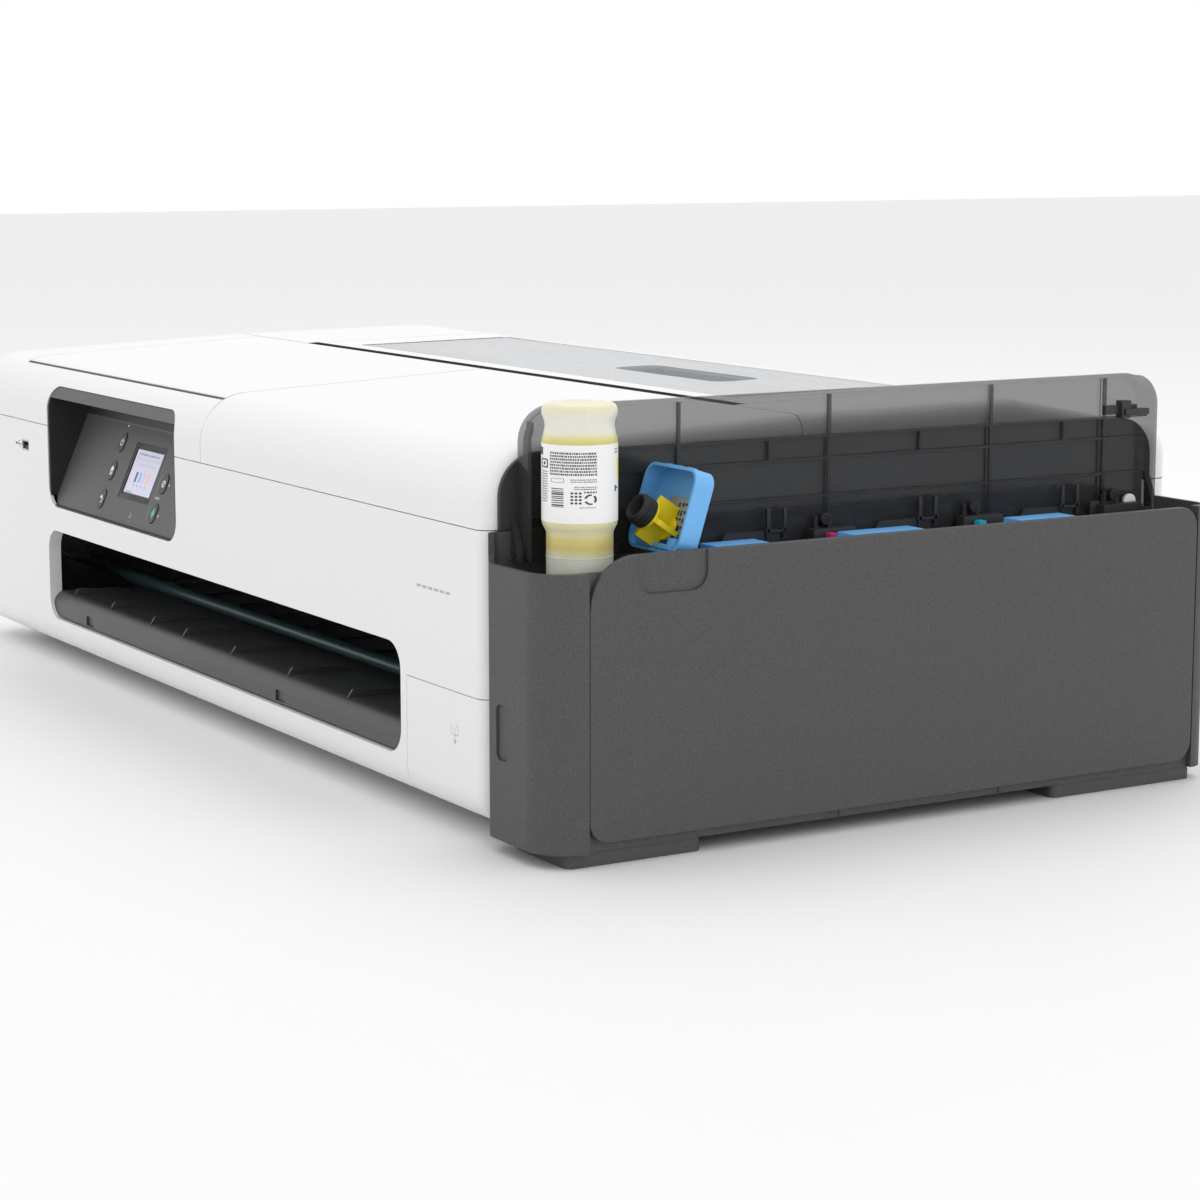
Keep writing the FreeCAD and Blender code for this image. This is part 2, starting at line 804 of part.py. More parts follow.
def panel_housing():
    rim = S.wall
    fit = S.seam_gap / 2
    front = common(
        prism("XZ", grown(PANEL, -fit), FRONT, FRONT + S.panel_back),
        prism("YZ", side_profile(size(0.8)), S.panel_left, S.panel_right),
    )
    face_top = PANEL_Z + S.face_length
    recess_y = PANEL_Y + (S.face_length - 6) * SLOPE
    recess = [
        (FRONT - 30, PANEL_Z),
        (PANEL_Y, PANEL_Z),
        (recess_y, face_top - 6, 9.0),
        (FRONT - 30, face_top + 6),
    ]
    inside = prism("YZ", recess, S.panel_left + fit + rim, S.panel_right - fit - rim)
    behind = [
        (PANEL_Y + 4 + 10 * SLOPE, PANEL_Z + 10 - rim),
        (FRONT + S.panel_back + 1, PANEL_Z + 10 - rim),
        (FRONT + S.panel_back + 1, S.panel_top - fit - rim),
        (recess_y + 4, S.panel_top - fit - rim),
        (recess_y + 4, face_top - 6),
    ]
    hollow = prism("YZ", behind, S.panel_left + fit + rim, S.panel_right - fit - rim)
    holes = [
        on_face(prism("XZ", key_outline(x, z, S.key_clearance), -2.0, 12.0)) for x, z in KEYS.values()
    ]
    window = on_face(
        prism("XZ", rectangle(DISPLAY[0], DISPLAY[1], DISPLAY[2], DISPLAY[3], size(1.5)), -2.0, 12.0)
    )
    node("panel_housing", cut(front, inside, hollow, window, *holes))


def display():
    fit = 0.1
    left, right, low, high = DISPLAY
    bezel = prism("XZ", rectangle(left + fit, right - fit, low + fit, high - fit, size(1.4)), 0.3, 3.4)
    opening = prism("XZ", rectangle(left + 3.5, right - 3.5, low + 3.0, high - 3.0, size(0.8)), 0.0, 1.6)
    node("display_bezel", on_face(cut(bezel, opening)))
    glass = prism("XZ", rectangle(left + 3.6, right - 3.6, low + 3.1, high - 3.1, size(0.7)), 0.7, 1.6)
    node("display_glass", on_face(glass))


def keys():
    for name, (x, z) in KEYS.items():
        head = prism("XZ", key_outline(x, z, 0.0), -0.7, 5.4)
        stem = rod("y", (x, z), 2.0, (5.0, 9.0))
        node(name, on_face(fuse(head, stem)))


# ---- sockets ----
def sockets():
    half = S.usb_width / 2
    tall = S.usb_tall / 2
    x = (S.usb_place - half, S.usb_place + half)
    z = (S.usb_height - tall, S.usb_height + tall)
    case = box(x, (FRONT + 0.4, FRONT + 16), z)
    hollow = box((x[0] + 1, x[1] - 1), (FRONT, FRONT + 14), (z[0] + 1, z[1] - 1))
    tongue = box((x[0] + 2, x[1] - 2), (FRONT + 3, FRONT + 15), (z[0] + 1.6, z[0] + 3.2))
    node("front_usb_port", fuse(cut(case, hollow), tongue))
    inlet = cut(
        box((-409.5, -376.5), (BACK - 24, BACK - 0.6), (30.3, 54.0)),
        box((-405.5, -380.5), (BACK - 18, BACK), (34.3, 50.0)),
    )
    lan = cut(
        box((-340.0, -324.0), (BACK - 18, BACK - 0.6), (30.2, 43.2)),
        box((-338.0, -326.0), (BACK - 14, BACK), (32.0, 41.0)),
    )
    usb = cut(
        box((-310.0, -298.0), (BACK - 18, BACK - 0.6), (30.2, 42.2)),
        box((-308.0, -300.0), (BACK - 14, BACK), (32.4, 40.0)),
    )
    node("rear_ports", group(inlet, lan, usb))


# ---- maintenance door and cartridge ----
def maintenance():
    shape = shell_piece(
        (S.door_left, DOOR_RIGHT), (FRONT, FRONT + S.door_depth), (0.0, S.door_top)
    )
    node("maintenance_door", shape)
    owner = body("maintenance_cartridge")
    x = (S.door_left + 6, WHITE_RIGHT - 24)
    pad(owner, "XZ", rectangle(x[0], x[1], 34.0, S.door_top - 6, 3.0), FRONT + 16, FRONT + 57)
    pull = rectangle(x[0] + 20, x[1] - 20, 44.0, 66.0, 4.0)
    pocket(owner, "XZ", pull, FRONT + 16, FRONT + 24)


# ---- dark tank unit on the right ----
def tank_tub():
    owner = body("tank_tub")
    t = S.tub_wall
    plan = [
        (UNIT_LEFT, FRONT, 9.0),
        (RIGHT, FRONT, S.tub_corner),
        (RIGHT, S.tub_back, S.tub_back_corner),
        (UNIT_LEFT, S.tub_back),
    ]
    pad(owner, "XY", plan, S.cover_bottom - 3, SEAM_LOW)
    inner_right = RIGHT - S.side_panel_thickness - 0.4 - t
    inside = [
        (UNIT_LEFT + t, FRONT + t, 7.0),
        (inner_right, FRONT + t, S.tub_corner - S.side_panel_thickness - t),
        (inner_right, S.tub_back - t, 9.0),
        (UNIT_LEFT + t, S.tub_back - t),
    ]
    pocket(owner, "XY", inside, S.cover_bottom + 2, SEAM_LOW + 1)
    panel_seat = [
        (S.side_panel_front - 0.4, 0.0),
        (S.side_panel_back + 0.4, 0.0),
        (S.side_panel_back + 0.4, S.side_panel_top + 20),
        (S.side_panel_front - 0.4, S.side_panel_top + 20),
    ]
    pocket(owner, "YZ", panel_seat, RIGHT - S.side_panel_thickness - 0.4, RIGHT + 1)
    shoulder = UNIT_LEFT + t + 2
    for level, low, high in (
        (S.tub_front_top, FRONT - 1, FRONT + S.tub_corner),
        (S.side_panel_top, FRONT - 1, S.tub_back + 1),
    ):
        above = [
            (shoulder, level, 6.0),
            (RIGHT + 5, level),
            (RIGHT + 5, SEAM_HIGH + 5),
            (shoulder, SEAM_HIGH + 5),
        ]
        pocket(owner, "XZ", above, low, high)
    wall_top = rectangle(S.side_panel_front - 1, S.side_panel_back, S.tub_front_top, SEAM_HIGH + 5)
    pocket(owner, "YZ", wall_top, shoulder, RIGHT)
    way_x = (UNIT_LEFT + t - 1, UNIT_LEFT + t + S.cover_flange + 3)
    cover_way = rectangle(*way_x, S.cover_low - 3, SEAM_HIGH + 5)
    pocket(owner, "XZ", cover_way, S.tub_back - t - 1, S.tub_back + 1)
    finger = rectangle(UNIT_LEFT + 15, UNIT_LEFT + 29, S.grip_recess_low, S.grip_recess_high, 4.0)
    pocket(owner, "XZ", finger, FRONT, FRONT + 1.6)
    for low, high in ((FRONT + 16, FRONT + 108), (size(110.0), S.tub_back - 10)):
        foot = rectangle(UNIT_LEFT + 8, RIGHT - 6, low, high, 5.0)
        pad(owner, "XY", foot, 0.0, S.cover_bottom - 2)


CHEEK_RIGHT = UNIT_LEFT + S.tub_wall
PIVOT_X = CHEEK_RIGHT + 5
PIVOT_Z = S.cover_pivot_height
LUG_WIDTH = 4.0
PIVOT_LUGS = (S.cover_front - LUG_WIDTH - 0.5, S.cover_back + 0.5)


def tank_cheek():
    inset = S.cheek_inset
    back = S.cover_back + LUG_WIDTH + 2
    profile = [
        (FRONT + inset, SEAM_HIGH),
        (FRONT + inset, S.front_top - inset + 9, S.front_top_radius - inset),
        (back, S.front_top - 4, 26.0),
        (back, SEAM_HIGH),
    ]
    plate = prism("YZ", profile, UNIT_LEFT, CHEEK_RIGHT)
    lugs = []
    for low in PIVOT_LUGS:
        lug = [
            (CHEEK_RIGHT - 1, SEAM_HIGH),
            (CHEEK_RIGHT - 1, SEAM_HIGH + 10),
            (CHEEK_RIGHT + 8, PIVOT_Z + 4),
            (CHEEK_RIGHT + 8, PIVOT_Z - 4),
            (CHEEK_RIGHT + 1, PIVOT_Z - 4),
            (CHEEK_RIGHT + 1, SEAM_HIGH),
        ]
        lugs.append(prism("XZ", lug, low, low + LUG_WIDTH))
    hole = rod("y", (PIVOT_X, PIVOT_Z), S.pin_radius + S.pin_clearance, (FRONT, BACK))
    node("tank_cheek", cut(fuse(plate, *lugs), hole))


def side_panel():
    owner = body("side_panel")
    front, back = S.side_panel_front, S.side_panel_back
    low, top = S.side_panel_bottom, S.side_panel_top
    outline = [
        (front, low, S.side_panel_small_radius),
        (back, low, S.side_panel_small_radius),
        (back, top, S.side_panel_small_radius),
        (front, top, S.side_panel_radius),
    ]
    pad(owner, "YZ", outline, RIGHT - S.side_panel_thickness, RIGHT)
    dent = [
        (S.dent_front, S.dent_low, 11.0),
        (S.dent_back, S.dent_low, 11.0),
        (S.dent_back, top + 5),
        (S.dent_front, top + 5),
    ]
    pocket(owner, "YZ", dent, RIGHT - S.dent_depth, RIGHT)

    def outer_rim(edge):
        bounds = edge.BoundBox
        flat = abs(bounds.XMin - RIGHT.value) < 0.01 and abs(bounds.XMax - RIGHT.value) < 0.01
        high = bounds.ZMin > S.dent_low.value - 0.1
        dented = high and bounds.YMin > S.dent_front.value - 0.1 and bounds.YMax < S.dent_back.value + 0.1
        return flat and not dented

    round_edges(owner, size(1.2), outer_rim)


# ---- tanks, caps, plugs ----
TANK_COLOURS = ("yellow", "magenta", "cyan", "black")
TANK_X = (UNIT_LEFT + S.tub_wall + 1.5, RIGHT - S.side_panel_thickness - S.tub_wall - 2)


def hinge_place(index):
    return S.first_hinge + S.tank_pitch * index


def ink_tank(index):
    hinge = hinge_place(index)
    front = hinge - S.tank_front_reach
    port = (S.ink_axis, hinge - S.port_reach)
    block = box(TANK_X, (front, front + S.tank_length), (S.tank_floor, S.tank_top))
    bore = rod("z", port, S.port_radius, (S.tank_top - S.port_depth, S.tank_top + 1))
    ears = []
    for side in (-1, 1):
        near = S.ink_axis + side * 12.4
        far = S.ink_axis + side * 18.0
        low, high = (far, near) if side < 0 else (near, far)
        ears.append(box((low, high), (hinge - 4, hinge + 4), (S.tank_top - 1, S.hinge_height + 4)))
    pin_hole = rod(
        "x",
        (hinge, S.hinge_height),
        S.pin_radius + S.pin_clearance,
        (S.ink_axis - 20, S.ink_axis + 20),
    )
    fin_foot = S.tank_top - 1
    fin_top = S.tub_front_top + 6
    fin = [(hinge - 58, fin_foot), (hinge - 6, fin_foot), (hinge - 6, fin_top), (hinge - 46, fin_top)]
    fin_x = CHEEK_RIGHT + 5
    return cut(fuse(block, prism("YZ", fin, fin_x, fin_x + 2), *ears), bore, pin_hole)


def ink_tanks():
    node("ink_tanks", group(*[ink_tank(index) for index in range(len(TANK_COLOURS))]))


def ink_cap(index, angle):
    """A blue cap drawn shut about its hinge line, then turned open by the angle."""
    w = S.cap_wall
    half = S.cap_width / 2
    top = S.cap_rise
    low = S.cap_rise - S.cap_depth
    head = cut(
        prism("XY", rectangle(-half, half, -S.cap_far, -S.cap_near, size(9.0)), low, top),
        prism("XY", rectangle(w - half, half - w, w - S.cap_far, -S.cap_near - w, 9.0 - w), low - 1, top - w),
    )
    barrel = rod("x", (0.0, 0.0), 3.0, (-12.0, 12.0))
    pin = rod("x", (0.0, 0.0), S.pin_radius, (-17.6, 17.6))
    arm = box((-10.0, 10.0), (-S.cap_near - 1, 0.0), (0.4, 2.8))
    return place(fuse(head, barrel, pin, arm), S.ink_axis, hinge_place(index), S.hinge_height, -angle)


def ink_plug(index, angle, reach, lean, drop):
    """The plug under a cap: a cross-ribbed stem with a hollow rubber end, pointing down when shut."""
    ceiling = S.cap_rise - S.cap_wall - drop
    length = 17.0
    blades = [
        box((-8.5, 8.5), (-1.1, 1.1), (-length + 7, 0.0)),
        box((-1.1, 1.1), (-8.5, 8.5), (-length + 7, 0.0)),
    ]
    disc = rod("z", (0.0, 0.0), 8.8, (-1.6, 0.0))
    sleeve = cut(
        rod("z", (0.0, 0.0), S.plug_radius - 0.4, (-length, -length + 8)),
        rod("z", (0.0, 0.0), S.plug_radius - 3.0, (-length - 1, -length + 7)),
    )
    whole = fuse(*blades, disc, sleeve)
    turned_y = ceiling * sine(angle) - reach * cosine(angle)
    turned_z = ceiling * cosine(angle) + reach * sine(angle)
    return place(whole, S.ink_axis, hinge_place(index) + turned_y, S.hinge_height + turned_z, -angle - lean)


def caps():
    node("yellow_cap", ink_cap(0, S.cap_open_angle))
    node("yellow_plug", ink_plug(0, S.cap_open_angle, size(30.0), 16.0, 2.8))
    shut = size(0.0)
    for index, colour in list(enumerate(TANK_COLOURS))[1:]:
        node(colour + "_cap", fuse(ink_cap(index, shut), ink_plug(index, shut, S.port_reach, 0.0, 0.0)))


# ---- smoked cover of the tank unit, standing open ----
def tank_cover():
    owner = body("tank_cover")
    left = CHEEK_RIGHT + S.cover_standoff
    right = left + S.cover_plate
    front, back = S.cover_front, S.cover_back
    low, high = S.cover_low, S.cover_high
    outline = [
        (front, low, 4.0), (back, low, 4.0),
        (back, high, S.cover_corner), (front, high, S.cover_corner),
    ]
    depth = left + S.cover_flange
    pad(owner, "YZ", outline, left, depth)
    t = S.cover_plate
    hollow = [
        (front + t, low - 5),
        (back - t, low - 5),
        (back - t, high - t, S.cover_corner - t),
        (front + t, high - t, S.cover_corner - t),
    ]
    pocket(owner, "YZ", hollow, right, depth + 1)
    top_cut = [(front + 4, high - 40), (back - 14, high - 6), (back - 14, high + 5), (front + 4, high + 5)]
    pocket(owner, "YZ", top_cut, right + 1.2, depth + 1)
    rise = high - low
    for share in (0.69, 0.54, 0.285):
        level = low + rise * share
        rib = rectangle(front + 1, back - 1, level - 0.6, level + 0.6)
        pad(owner, "YZ", rib, left + 1, right + 1.2)
    span = back - front
    for share in (0.225, 0.454, 0.717, 0.912):
        level = front + span * share
        rib = rectangle(level - 0.6, level + 0.6, low + 1, high - 1)
        pad(owner, "YZ", rib, left + 1, right + 1.2)
    for end in (front - LUG_WIDTH - 0.5, back - 1):
        pad(owner, "XZ", ("circle", PIVOT_X, PIVOT_Z, S.pin_radius), end, end + LUG_WIDTH + 1.5)


# ---- ink bottle ----
def ink_bottle():
    port_y = hinge_place(0) - S.port_reach
    rest = S.tank_top + 0.4
    r, neck, top, step = S.bottle_radius, S.bottle_neck_radius, S.bottle_top, S.bottle_step
    nozzle = S.bottle_nozzle_radius
    outline = [
        (0.0, rest - 14),
        (nozzle - 2, rest - 14),
        (nozzle, rest),
        (neck - 1.2, rest),
        (neck, rest + 6),
        (neck, step - 3),
        (r, step + 3, 3.0),
        (r, top - 22),
        (r - 2.2, top - 16, 6.0),
        (r, top - 8, 5.0),
        (r, top, 4.0),
        (0.0, top),
    ]
    owner = body("ink_bottle")
    sketch = body_sketch(owner, "XZ", size(0.0), outline)
    spin = owner.newObject("PartDesign::Revolution", "Revolution")
    spin.Profile = sketch
    spin.ReferenceAxis = (sketch, ["V_Axis"])
    spin.Angle = 360.0
    place(owner, S.ink_axis, port_y, 0.0)


# ---- paper path ----
FRAME_LEFT = LEFT + 34
FRAME_RIGHT = WHITE_RIGHT - 19
FRAME_THICK = 2.5
FEED_BELT_X = (FRAME_LEFT - 12, FRAME_LEFT - 6)
BELT_LEFT = FRAME_LEFT + 24
BELT_RIGHT = FRAME_RIGHT - 14
FEED_MOTOR = (S.feed_place + 90, S.feed_height)
MOTOR_FACE = S.belt_place + S.belt_width + 6


def frames():
    plates = []
    low = S.cover_bottom + S.wall + S.base_floor + 0.6
    for left in (FRAME_LEFT, FRAME_RIGHT):
        x = (left, left + FRAME_THICK)
        outline = [
            (size(-205.0), low),
            (size(150.0), low),
            (size(150.0), size(160.0)),
            (size(-205.0), size(176.0)),
        ]
        plate = prism("YZ", outline, x[0], x[1])
        holes = [
            rod("x", (S.shaft_place, S.shaft_height), 3.3, (x[0] - 1, x[1] + 1)),
            rod("x", (S.feed_place, S.feed_height), 4.3, (x[0] - 1, x[1] + 1)),
            rod("x", (S.feed_place, pinch_height()), 2.3, (x[0] - 1, x[1] + 1)),
            rod("x", FEED_MOTOR, 2.9, (x[0] - 1, x[1] + 1)),
            box(
                (x[0] - 1, x[1] + 1),
                (S.rail_place - S.rail_half, S.rail_place + S.rail_half),
                (S.rail_height - S.rail_half, S.rail_height + S.rail_half),
            ),
        ]
        plates.append(cut(plate, *holes))
    bracket_y = (MOTOR_FACE, MOTOR_FACE + 4)
    arm_z = (S.belt_height - 4, S.belt_height + 4)
    bracket = [
        box((BELT_LEFT - 5, BELT_LEFT + 5), bracket_y, (S.belt_height - 8, S.belt_height + 8)),
        rod("y", (BELT_LEFT, S.belt_height), size(2.4), (S.belt_place - 2, MOTOR_FACE + 1)),
        box((FRAME_LEFT + 1, BELT_LEFT + 5), bracket_y, arm_z),
    ]
    node("side_frames", group(fuse(plates[0], *bracket), plates[1]))


def pinch_height():
    return S.feed_height + S.feed_radius + S.pinch_radius + S.running_gap


def rollers():
    ends = (FRAME_LEFT - 1, FRAME_RIGHT + FRAME_THICK + 1)
    shaft = rod("x", (S.shaft_place, S.shaft_height), size(3.0), ends)
    sleeve = rod("x", (S.shaft_place, S.shaft_height), S.shaft_radius, (-S.paper_half, S.paper_half))
    node("exit_shaft", fuse(shaft, sleeve))
    feed_centre = (S.feed_place, S.feed_height)
    node(
        "feed_roller",
        fuse(
            rod("x", feed_centre, size(4.0), (FRAME_LEFT - 14, ends[1])),
            rod("x", feed_centre, S.feed_radius, (-S.paper_half, S.paper_half)),
            pulley("x", feed_centre, FEED_BELT_X, size(3.9)),
        ),
    )
    pinch_centre = (S.feed_place, pinch_height())
    parts = [rod("x", pinch_centre, size(2.0), ends)]
    for step in range(8):
        start = -S.paper_half + 20 + step * (S.paper_half - 40) * 2 / 7
        parts.append(rod("x", pinch_centre, S.pinch_radius, (start - 15, start + 15)))
    node("pinch_rollers", fuse(*parts))
    owner = body("platen")
    pad(
        owner,
        "XY",
        rectangle(-S.paper_half - 6, S.paper_half + 6, S.platen_front, S.platen_back),
        S.platen_top - 8,
        S.platen_top - 2,
    )
    for step in range(11):
        centre = -S.paper_half + 18 + step * (S.paper_half - 18) / 5
        rib = rectangle(centre - 1.5, centre + 1.5, S.platen_front + 4, S.platen_back - 4)
        pad(owner, "XY", rib, S.platen_top - 3, S.platen_top)
    for low in (S.platen_front + 6, S.platen_back - 12):
        beam = rectangle(-S.paper_half, S.paper_half, low, low + 6)
        pad(owner, "XY", beam, S.cover_bottom + 8, S.platen_top - 7)


def belt_loop(plane, centres, low, high):
    """A flat belt around two equal pulleys whose axes cross the given plane."""
    gap = S.running_gap / 3
    inner = S.pulley_radius + gap
    outer = inner + S.belt_thickness
    (u0, v0), (u1, v1) = centres
    rings = []
    for radius, reach in ((outer, 0.0), (inner, 1.0)):
        outline = rectangle(u0 - radius, u1 + radius, v0 - radius, v0 + radius, radius * 0.999)
        rings.append(prism(plane, outline, size(low) - reach, size(high) + reach))
    return cut(*rings)


def pulley(axis, centre, span, bore):
    flange = 1.0
    wheel = fuse(
        rod(axis, centre, S.pulley_radius, span),
        rod(axis, centre, S.pulley_radius + 2, (size(span[0]) - flange - 0.4, size(span[0]) - 0.4)),
        rod(axis, centre, S.pulley_radius - 1, (size(span[0]) - 0.5, span[0])),
    )
    return cut(wheel, rod(axis, centre, bore, (size(span[0]) - 3, size(span[1]) + 2)))


def carriage_drive():
    belt_y = (S.belt_place, S.belt_place + S.belt_width)
    centres = ((BELT_LEFT, S.belt_height), (BELT_RIGHT, S.belt_height))
    node("timing_belt", belt_loop("XZ", centres, belt_y[0], belt_y[1]))
    for name, x in (("idler_pulley", BELT_LEFT), ("drive_pulley", BELT_RIGHT)):
        node(name, pulley("y", (x, S.belt_height), belt_y, size(2.5)))
    motor = fuse(
        rod("y", (BELT_RIGHT, S.belt_height), size(14.0), (MOTOR_FACE, MOTOR_FACE + 42)),
        rod("y", (BELT_RIGHT, S.belt_height), size(2.4), (belt_y[0] - 2, MOTOR_FACE + 1)),
    )
    node("carriage_motor", motor)
    rail = box(
        (FRAME_LEFT, FRAME_RIGHT + FRAME_THICK),
        (S.rail_place - S.rail_half + 0.3, S.rail_place + S.rail_half - 0.3),
        (S.rail_height - S.rail_half + 0.3, S.rail_height + S.rail_half - 0.3),
    )
    node("carriage_rail", rail)
    x = (S.carriage_centre - S.carriage_half, S.carriage_centre + S.carriage_half)
    gap = S.running_gap
    rail_hole = box(
        (x[0] - 1, x[1] + 1),
        (S.rail_place - S.rail_half - gap, S.rail_place + S.rail_half + gap),
        (S.rail_height - S.rail_half - gap, S.rail_height + S.rail_half + gap),
    )
    housing = box(x, (size(-178.0), S.belt_place - 4), (S.platen_top + 20, S.rail_height + 20))
    well_y = (size(-174.0), S.rail_place - S.rail_half - 4)
    well = box((x[0] + 3, x[1] - 3), well_y, (S.platen_top + 30, ABOVE))
    node("carriage", cut(housing, rail_hole, well))
    head = box((x[0] + 6, x[1] - 6), (size(-170.0), size(-134.0)), (S.platen_top + 3, S.platen_top + 19.9))
    node("print_head", head)


def feed_drive():
    x = FEED_BELT_X
    centres = ((S.feed_place, S.feed_height), FEED_MOTOR)
    node("feed_belt", belt_loop("YZ", centres, x[0], x[1]))
    node("motor_pulley", pulley("x", FEED_MOTOR, x, size(2.5)))
    motor = fuse(
        rod("x", FEED_MOTOR, size(14.0), (FRAME_LEFT + FRAME_THICK, FRAME_LEFT + FRAME_THICK + 42)),
        rod("x", FEED_MOTOR, size(2.4), (x[0] - 2, FRAME_LEFT + FRAME_THICK + 1)),
    )
    node("feed_motor", motor)


def cutter():
    y = FRONT + 34
    rail_low = S.slot_top + 6
    rail_high = rail_low + 8
    rail = box((S.slot_left - 60, S.slot_right + 30), (y, y + 6), (rail_low, rail_high))
    node("cutter_rail", rail)
    gap = S.running_gap
    x = (S.slot_left - 52, S.slot_left - 30)
    block = box(x, (y - 5, y + 12), (S.slot_top - 8, rail_high + 4))
    hole = box((x[0] - 1, x[1] + 1), (y - gap, y + 6 + gap), (rail_low - gap, rail_high + gap))
    wheel = rod("y", (x[0] + 11, S.slot_top - 8), size(7.0), (y + 9, y + 10))
    node("cutter", fuse(cut(block, hole), wheel))


def roll_path():
    centre = (S.spool_place, S.spool_height)
    half = S.paper_half
    core = rod("x", centre, S.core_radius, (-half + 12, half - 12))
    parts = [core, rod("x", centre, size(6.0), (-half - 9, half + 9))]
    for inner in (-half + 8, half - 12):
        parts.append(rod("x", centre, S.flange_radius, (inner, inner + 4)))
    node("roll_spool", fuse(*parts))
    holders = []
    floor = S.cover_bottom + S.wall + S.base_floor + 0.6
    for left in (-half - 8, half + 3):
        post = box((left, left + 5), (S.spool_place - 20, S.spool_place + 20), (floor, S.spool_height + 4))
        saddle = rod("x", centre, 6.0 + S.running_gap, (left - 1, left + 6))
        way = box(
            (left - 1, left + 6),
            (S.spool_place - 6 - S.running_gap, S.spool_place + 6 + S.running_gap),
            (S.spool_height, S.spool_height + 6),
        )
        holders.append(cut(post, saddle, way))
    node("spool_holders", group(*holders))


def electronics():
    floor = S.cover_bottom + S.wall + S.base_floor + 0.6
    board = fuse(
        box((-200.0, 120.0), (176.0, 177.6), (floor + 10, floor + 100)),
        box((-150.0, -120.0), (173.0, 176.2), (floor + 40, floor + 70)),
        box((-60.0, -44.0), (170.0, 176.2), (floor + 20, floor + 60)),
        box((30.0, 70.0), (172.0, 176.2), (floor + 50, floor + 80)),
    )
    node("main_board", board)
    node("power_supply", box((160.0, 340.0), (168.0, 232.0), (floor, floor + 46)))


def screws():
    heads = []
    for x in SCREW_PLACES:
        head = rod("y", (x, SCREW_HEIGHT), S.screw_radius, (BACK - 2.4, BACK - 0.3))
        thread = rod("y", (x, SCREW_HEIGHT), S.screw_radius / 2, (BACK - 12, BACK - 2))
        cross = [
            box((x - 2.2, x + 2.2), (BACK - 1.5, BACK), (SCREW_HEIGHT - 0.4, SCREW_HEIGHT + 0.4)),
            box((x - 0.4, x + 0.4), (BACK - 1.5, BACK), (SCREW_HEIGHT - 2.2, SCREW_HEIGHT + 2.2)),
        ]
        heads.append(cut(fuse(head, thread), *cross))
    node("case_screws", group(*heads))


front_cover()
side_and_rear_covers()
scanner()
access_cover()
roll_cover()
base()
output_guide()
panel_housing()
display()
keys()
sockets()
maintenance()
tank_tub()
tank_cheek()
side_panel()
ink_tanks()
caps()
tank_cover()
ink_bottle()
frames()
rollers()
carriage_drive()
feed_drive()
cutter()
roll_path()
electronics()
screws()

doc.recompute()

# ---- checks, then one STEP file per node ----
faults = [
    "%s (%s)" % (thing.Label, ", ".join(thing.State))
    for thing in doc.Objects
    if "Invalid" in thing.State or "Error" in thing.State
]
for thing in doc.Objects:
    if thing.TypeId == "PartDesign::Pocket" and thing.Shape.Volume > thing.BaseFeature.Shape.Volume - 0.001:
        faults.append("%s cuts nothing" % thing.Label)
for name, thing in NODES.items():
    if thing.Shape.isNull() or not thing.Shape.isValid() or thing.Shape.Volume <= 0:
        faults.append("%s has no sound shape" % name)
if faults:
    raise SystemExit("\n".join(faults))

os.makedirs("parts", exist_ok=True)
for name, thing in NODES.items():
    thing.Shape.exportStep("parts/%s.step" % name)
    print("%-24s %3d solids %12.0f mm3" % (name, len(thing.Shape.Solids), thing.Shape.Volume))
print(len(NODES), "nodes")
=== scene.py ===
import json
import math
import random

import bmesh
import bpy
from mathutils import Matrix, Vector
from mathutils.bvhtree import BVHTree


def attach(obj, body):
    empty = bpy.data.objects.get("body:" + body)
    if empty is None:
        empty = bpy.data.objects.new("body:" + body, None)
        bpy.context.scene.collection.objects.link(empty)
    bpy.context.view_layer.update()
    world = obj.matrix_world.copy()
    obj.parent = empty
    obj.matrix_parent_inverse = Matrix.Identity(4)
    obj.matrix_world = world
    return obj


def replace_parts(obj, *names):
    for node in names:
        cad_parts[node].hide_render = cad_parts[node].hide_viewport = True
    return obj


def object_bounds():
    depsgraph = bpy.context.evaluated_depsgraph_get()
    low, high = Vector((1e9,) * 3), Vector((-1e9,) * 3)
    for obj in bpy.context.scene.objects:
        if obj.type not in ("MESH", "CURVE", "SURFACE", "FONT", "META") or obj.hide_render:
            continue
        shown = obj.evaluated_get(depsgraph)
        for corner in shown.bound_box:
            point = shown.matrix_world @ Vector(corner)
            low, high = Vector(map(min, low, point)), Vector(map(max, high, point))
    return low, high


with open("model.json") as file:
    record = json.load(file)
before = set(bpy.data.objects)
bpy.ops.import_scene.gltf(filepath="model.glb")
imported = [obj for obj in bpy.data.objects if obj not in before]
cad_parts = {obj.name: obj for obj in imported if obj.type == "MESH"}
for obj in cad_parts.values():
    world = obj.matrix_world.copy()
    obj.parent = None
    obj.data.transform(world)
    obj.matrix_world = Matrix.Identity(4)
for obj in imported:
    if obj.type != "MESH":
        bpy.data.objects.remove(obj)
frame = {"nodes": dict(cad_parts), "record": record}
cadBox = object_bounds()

nodes = frame["nodes"]
mm = 0.001
print("frame loaded:", len(nodes), "nodes")


# ---- small helpers ----
def linkNodes(tree, *pairs):
    for start, end in pairs:
        tree.links.new(start, end)


def inScene(name, data):
    made = bpy.data.objects.new(name, data)
    bpy.context.scene.collection.objects.link(made)
    return made


def evaluated(holder):
    # the mesh after its modifiers, and the holder removed
    made = bpy.data.meshes.new_from_object(holder.evaluated_get(bpy.context.evaluated_depsgraph_get()))
    bpy.data.objects.remove(holder)
    return made


def asObject(name, mesh, body, slot, *materials):
    piece = inScene(name, mesh)
    if mesh.materials:
        mesh.materials.clear()
    for material in materials:
        mesh.materials.append(material)
    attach(piece, body)
    return piece


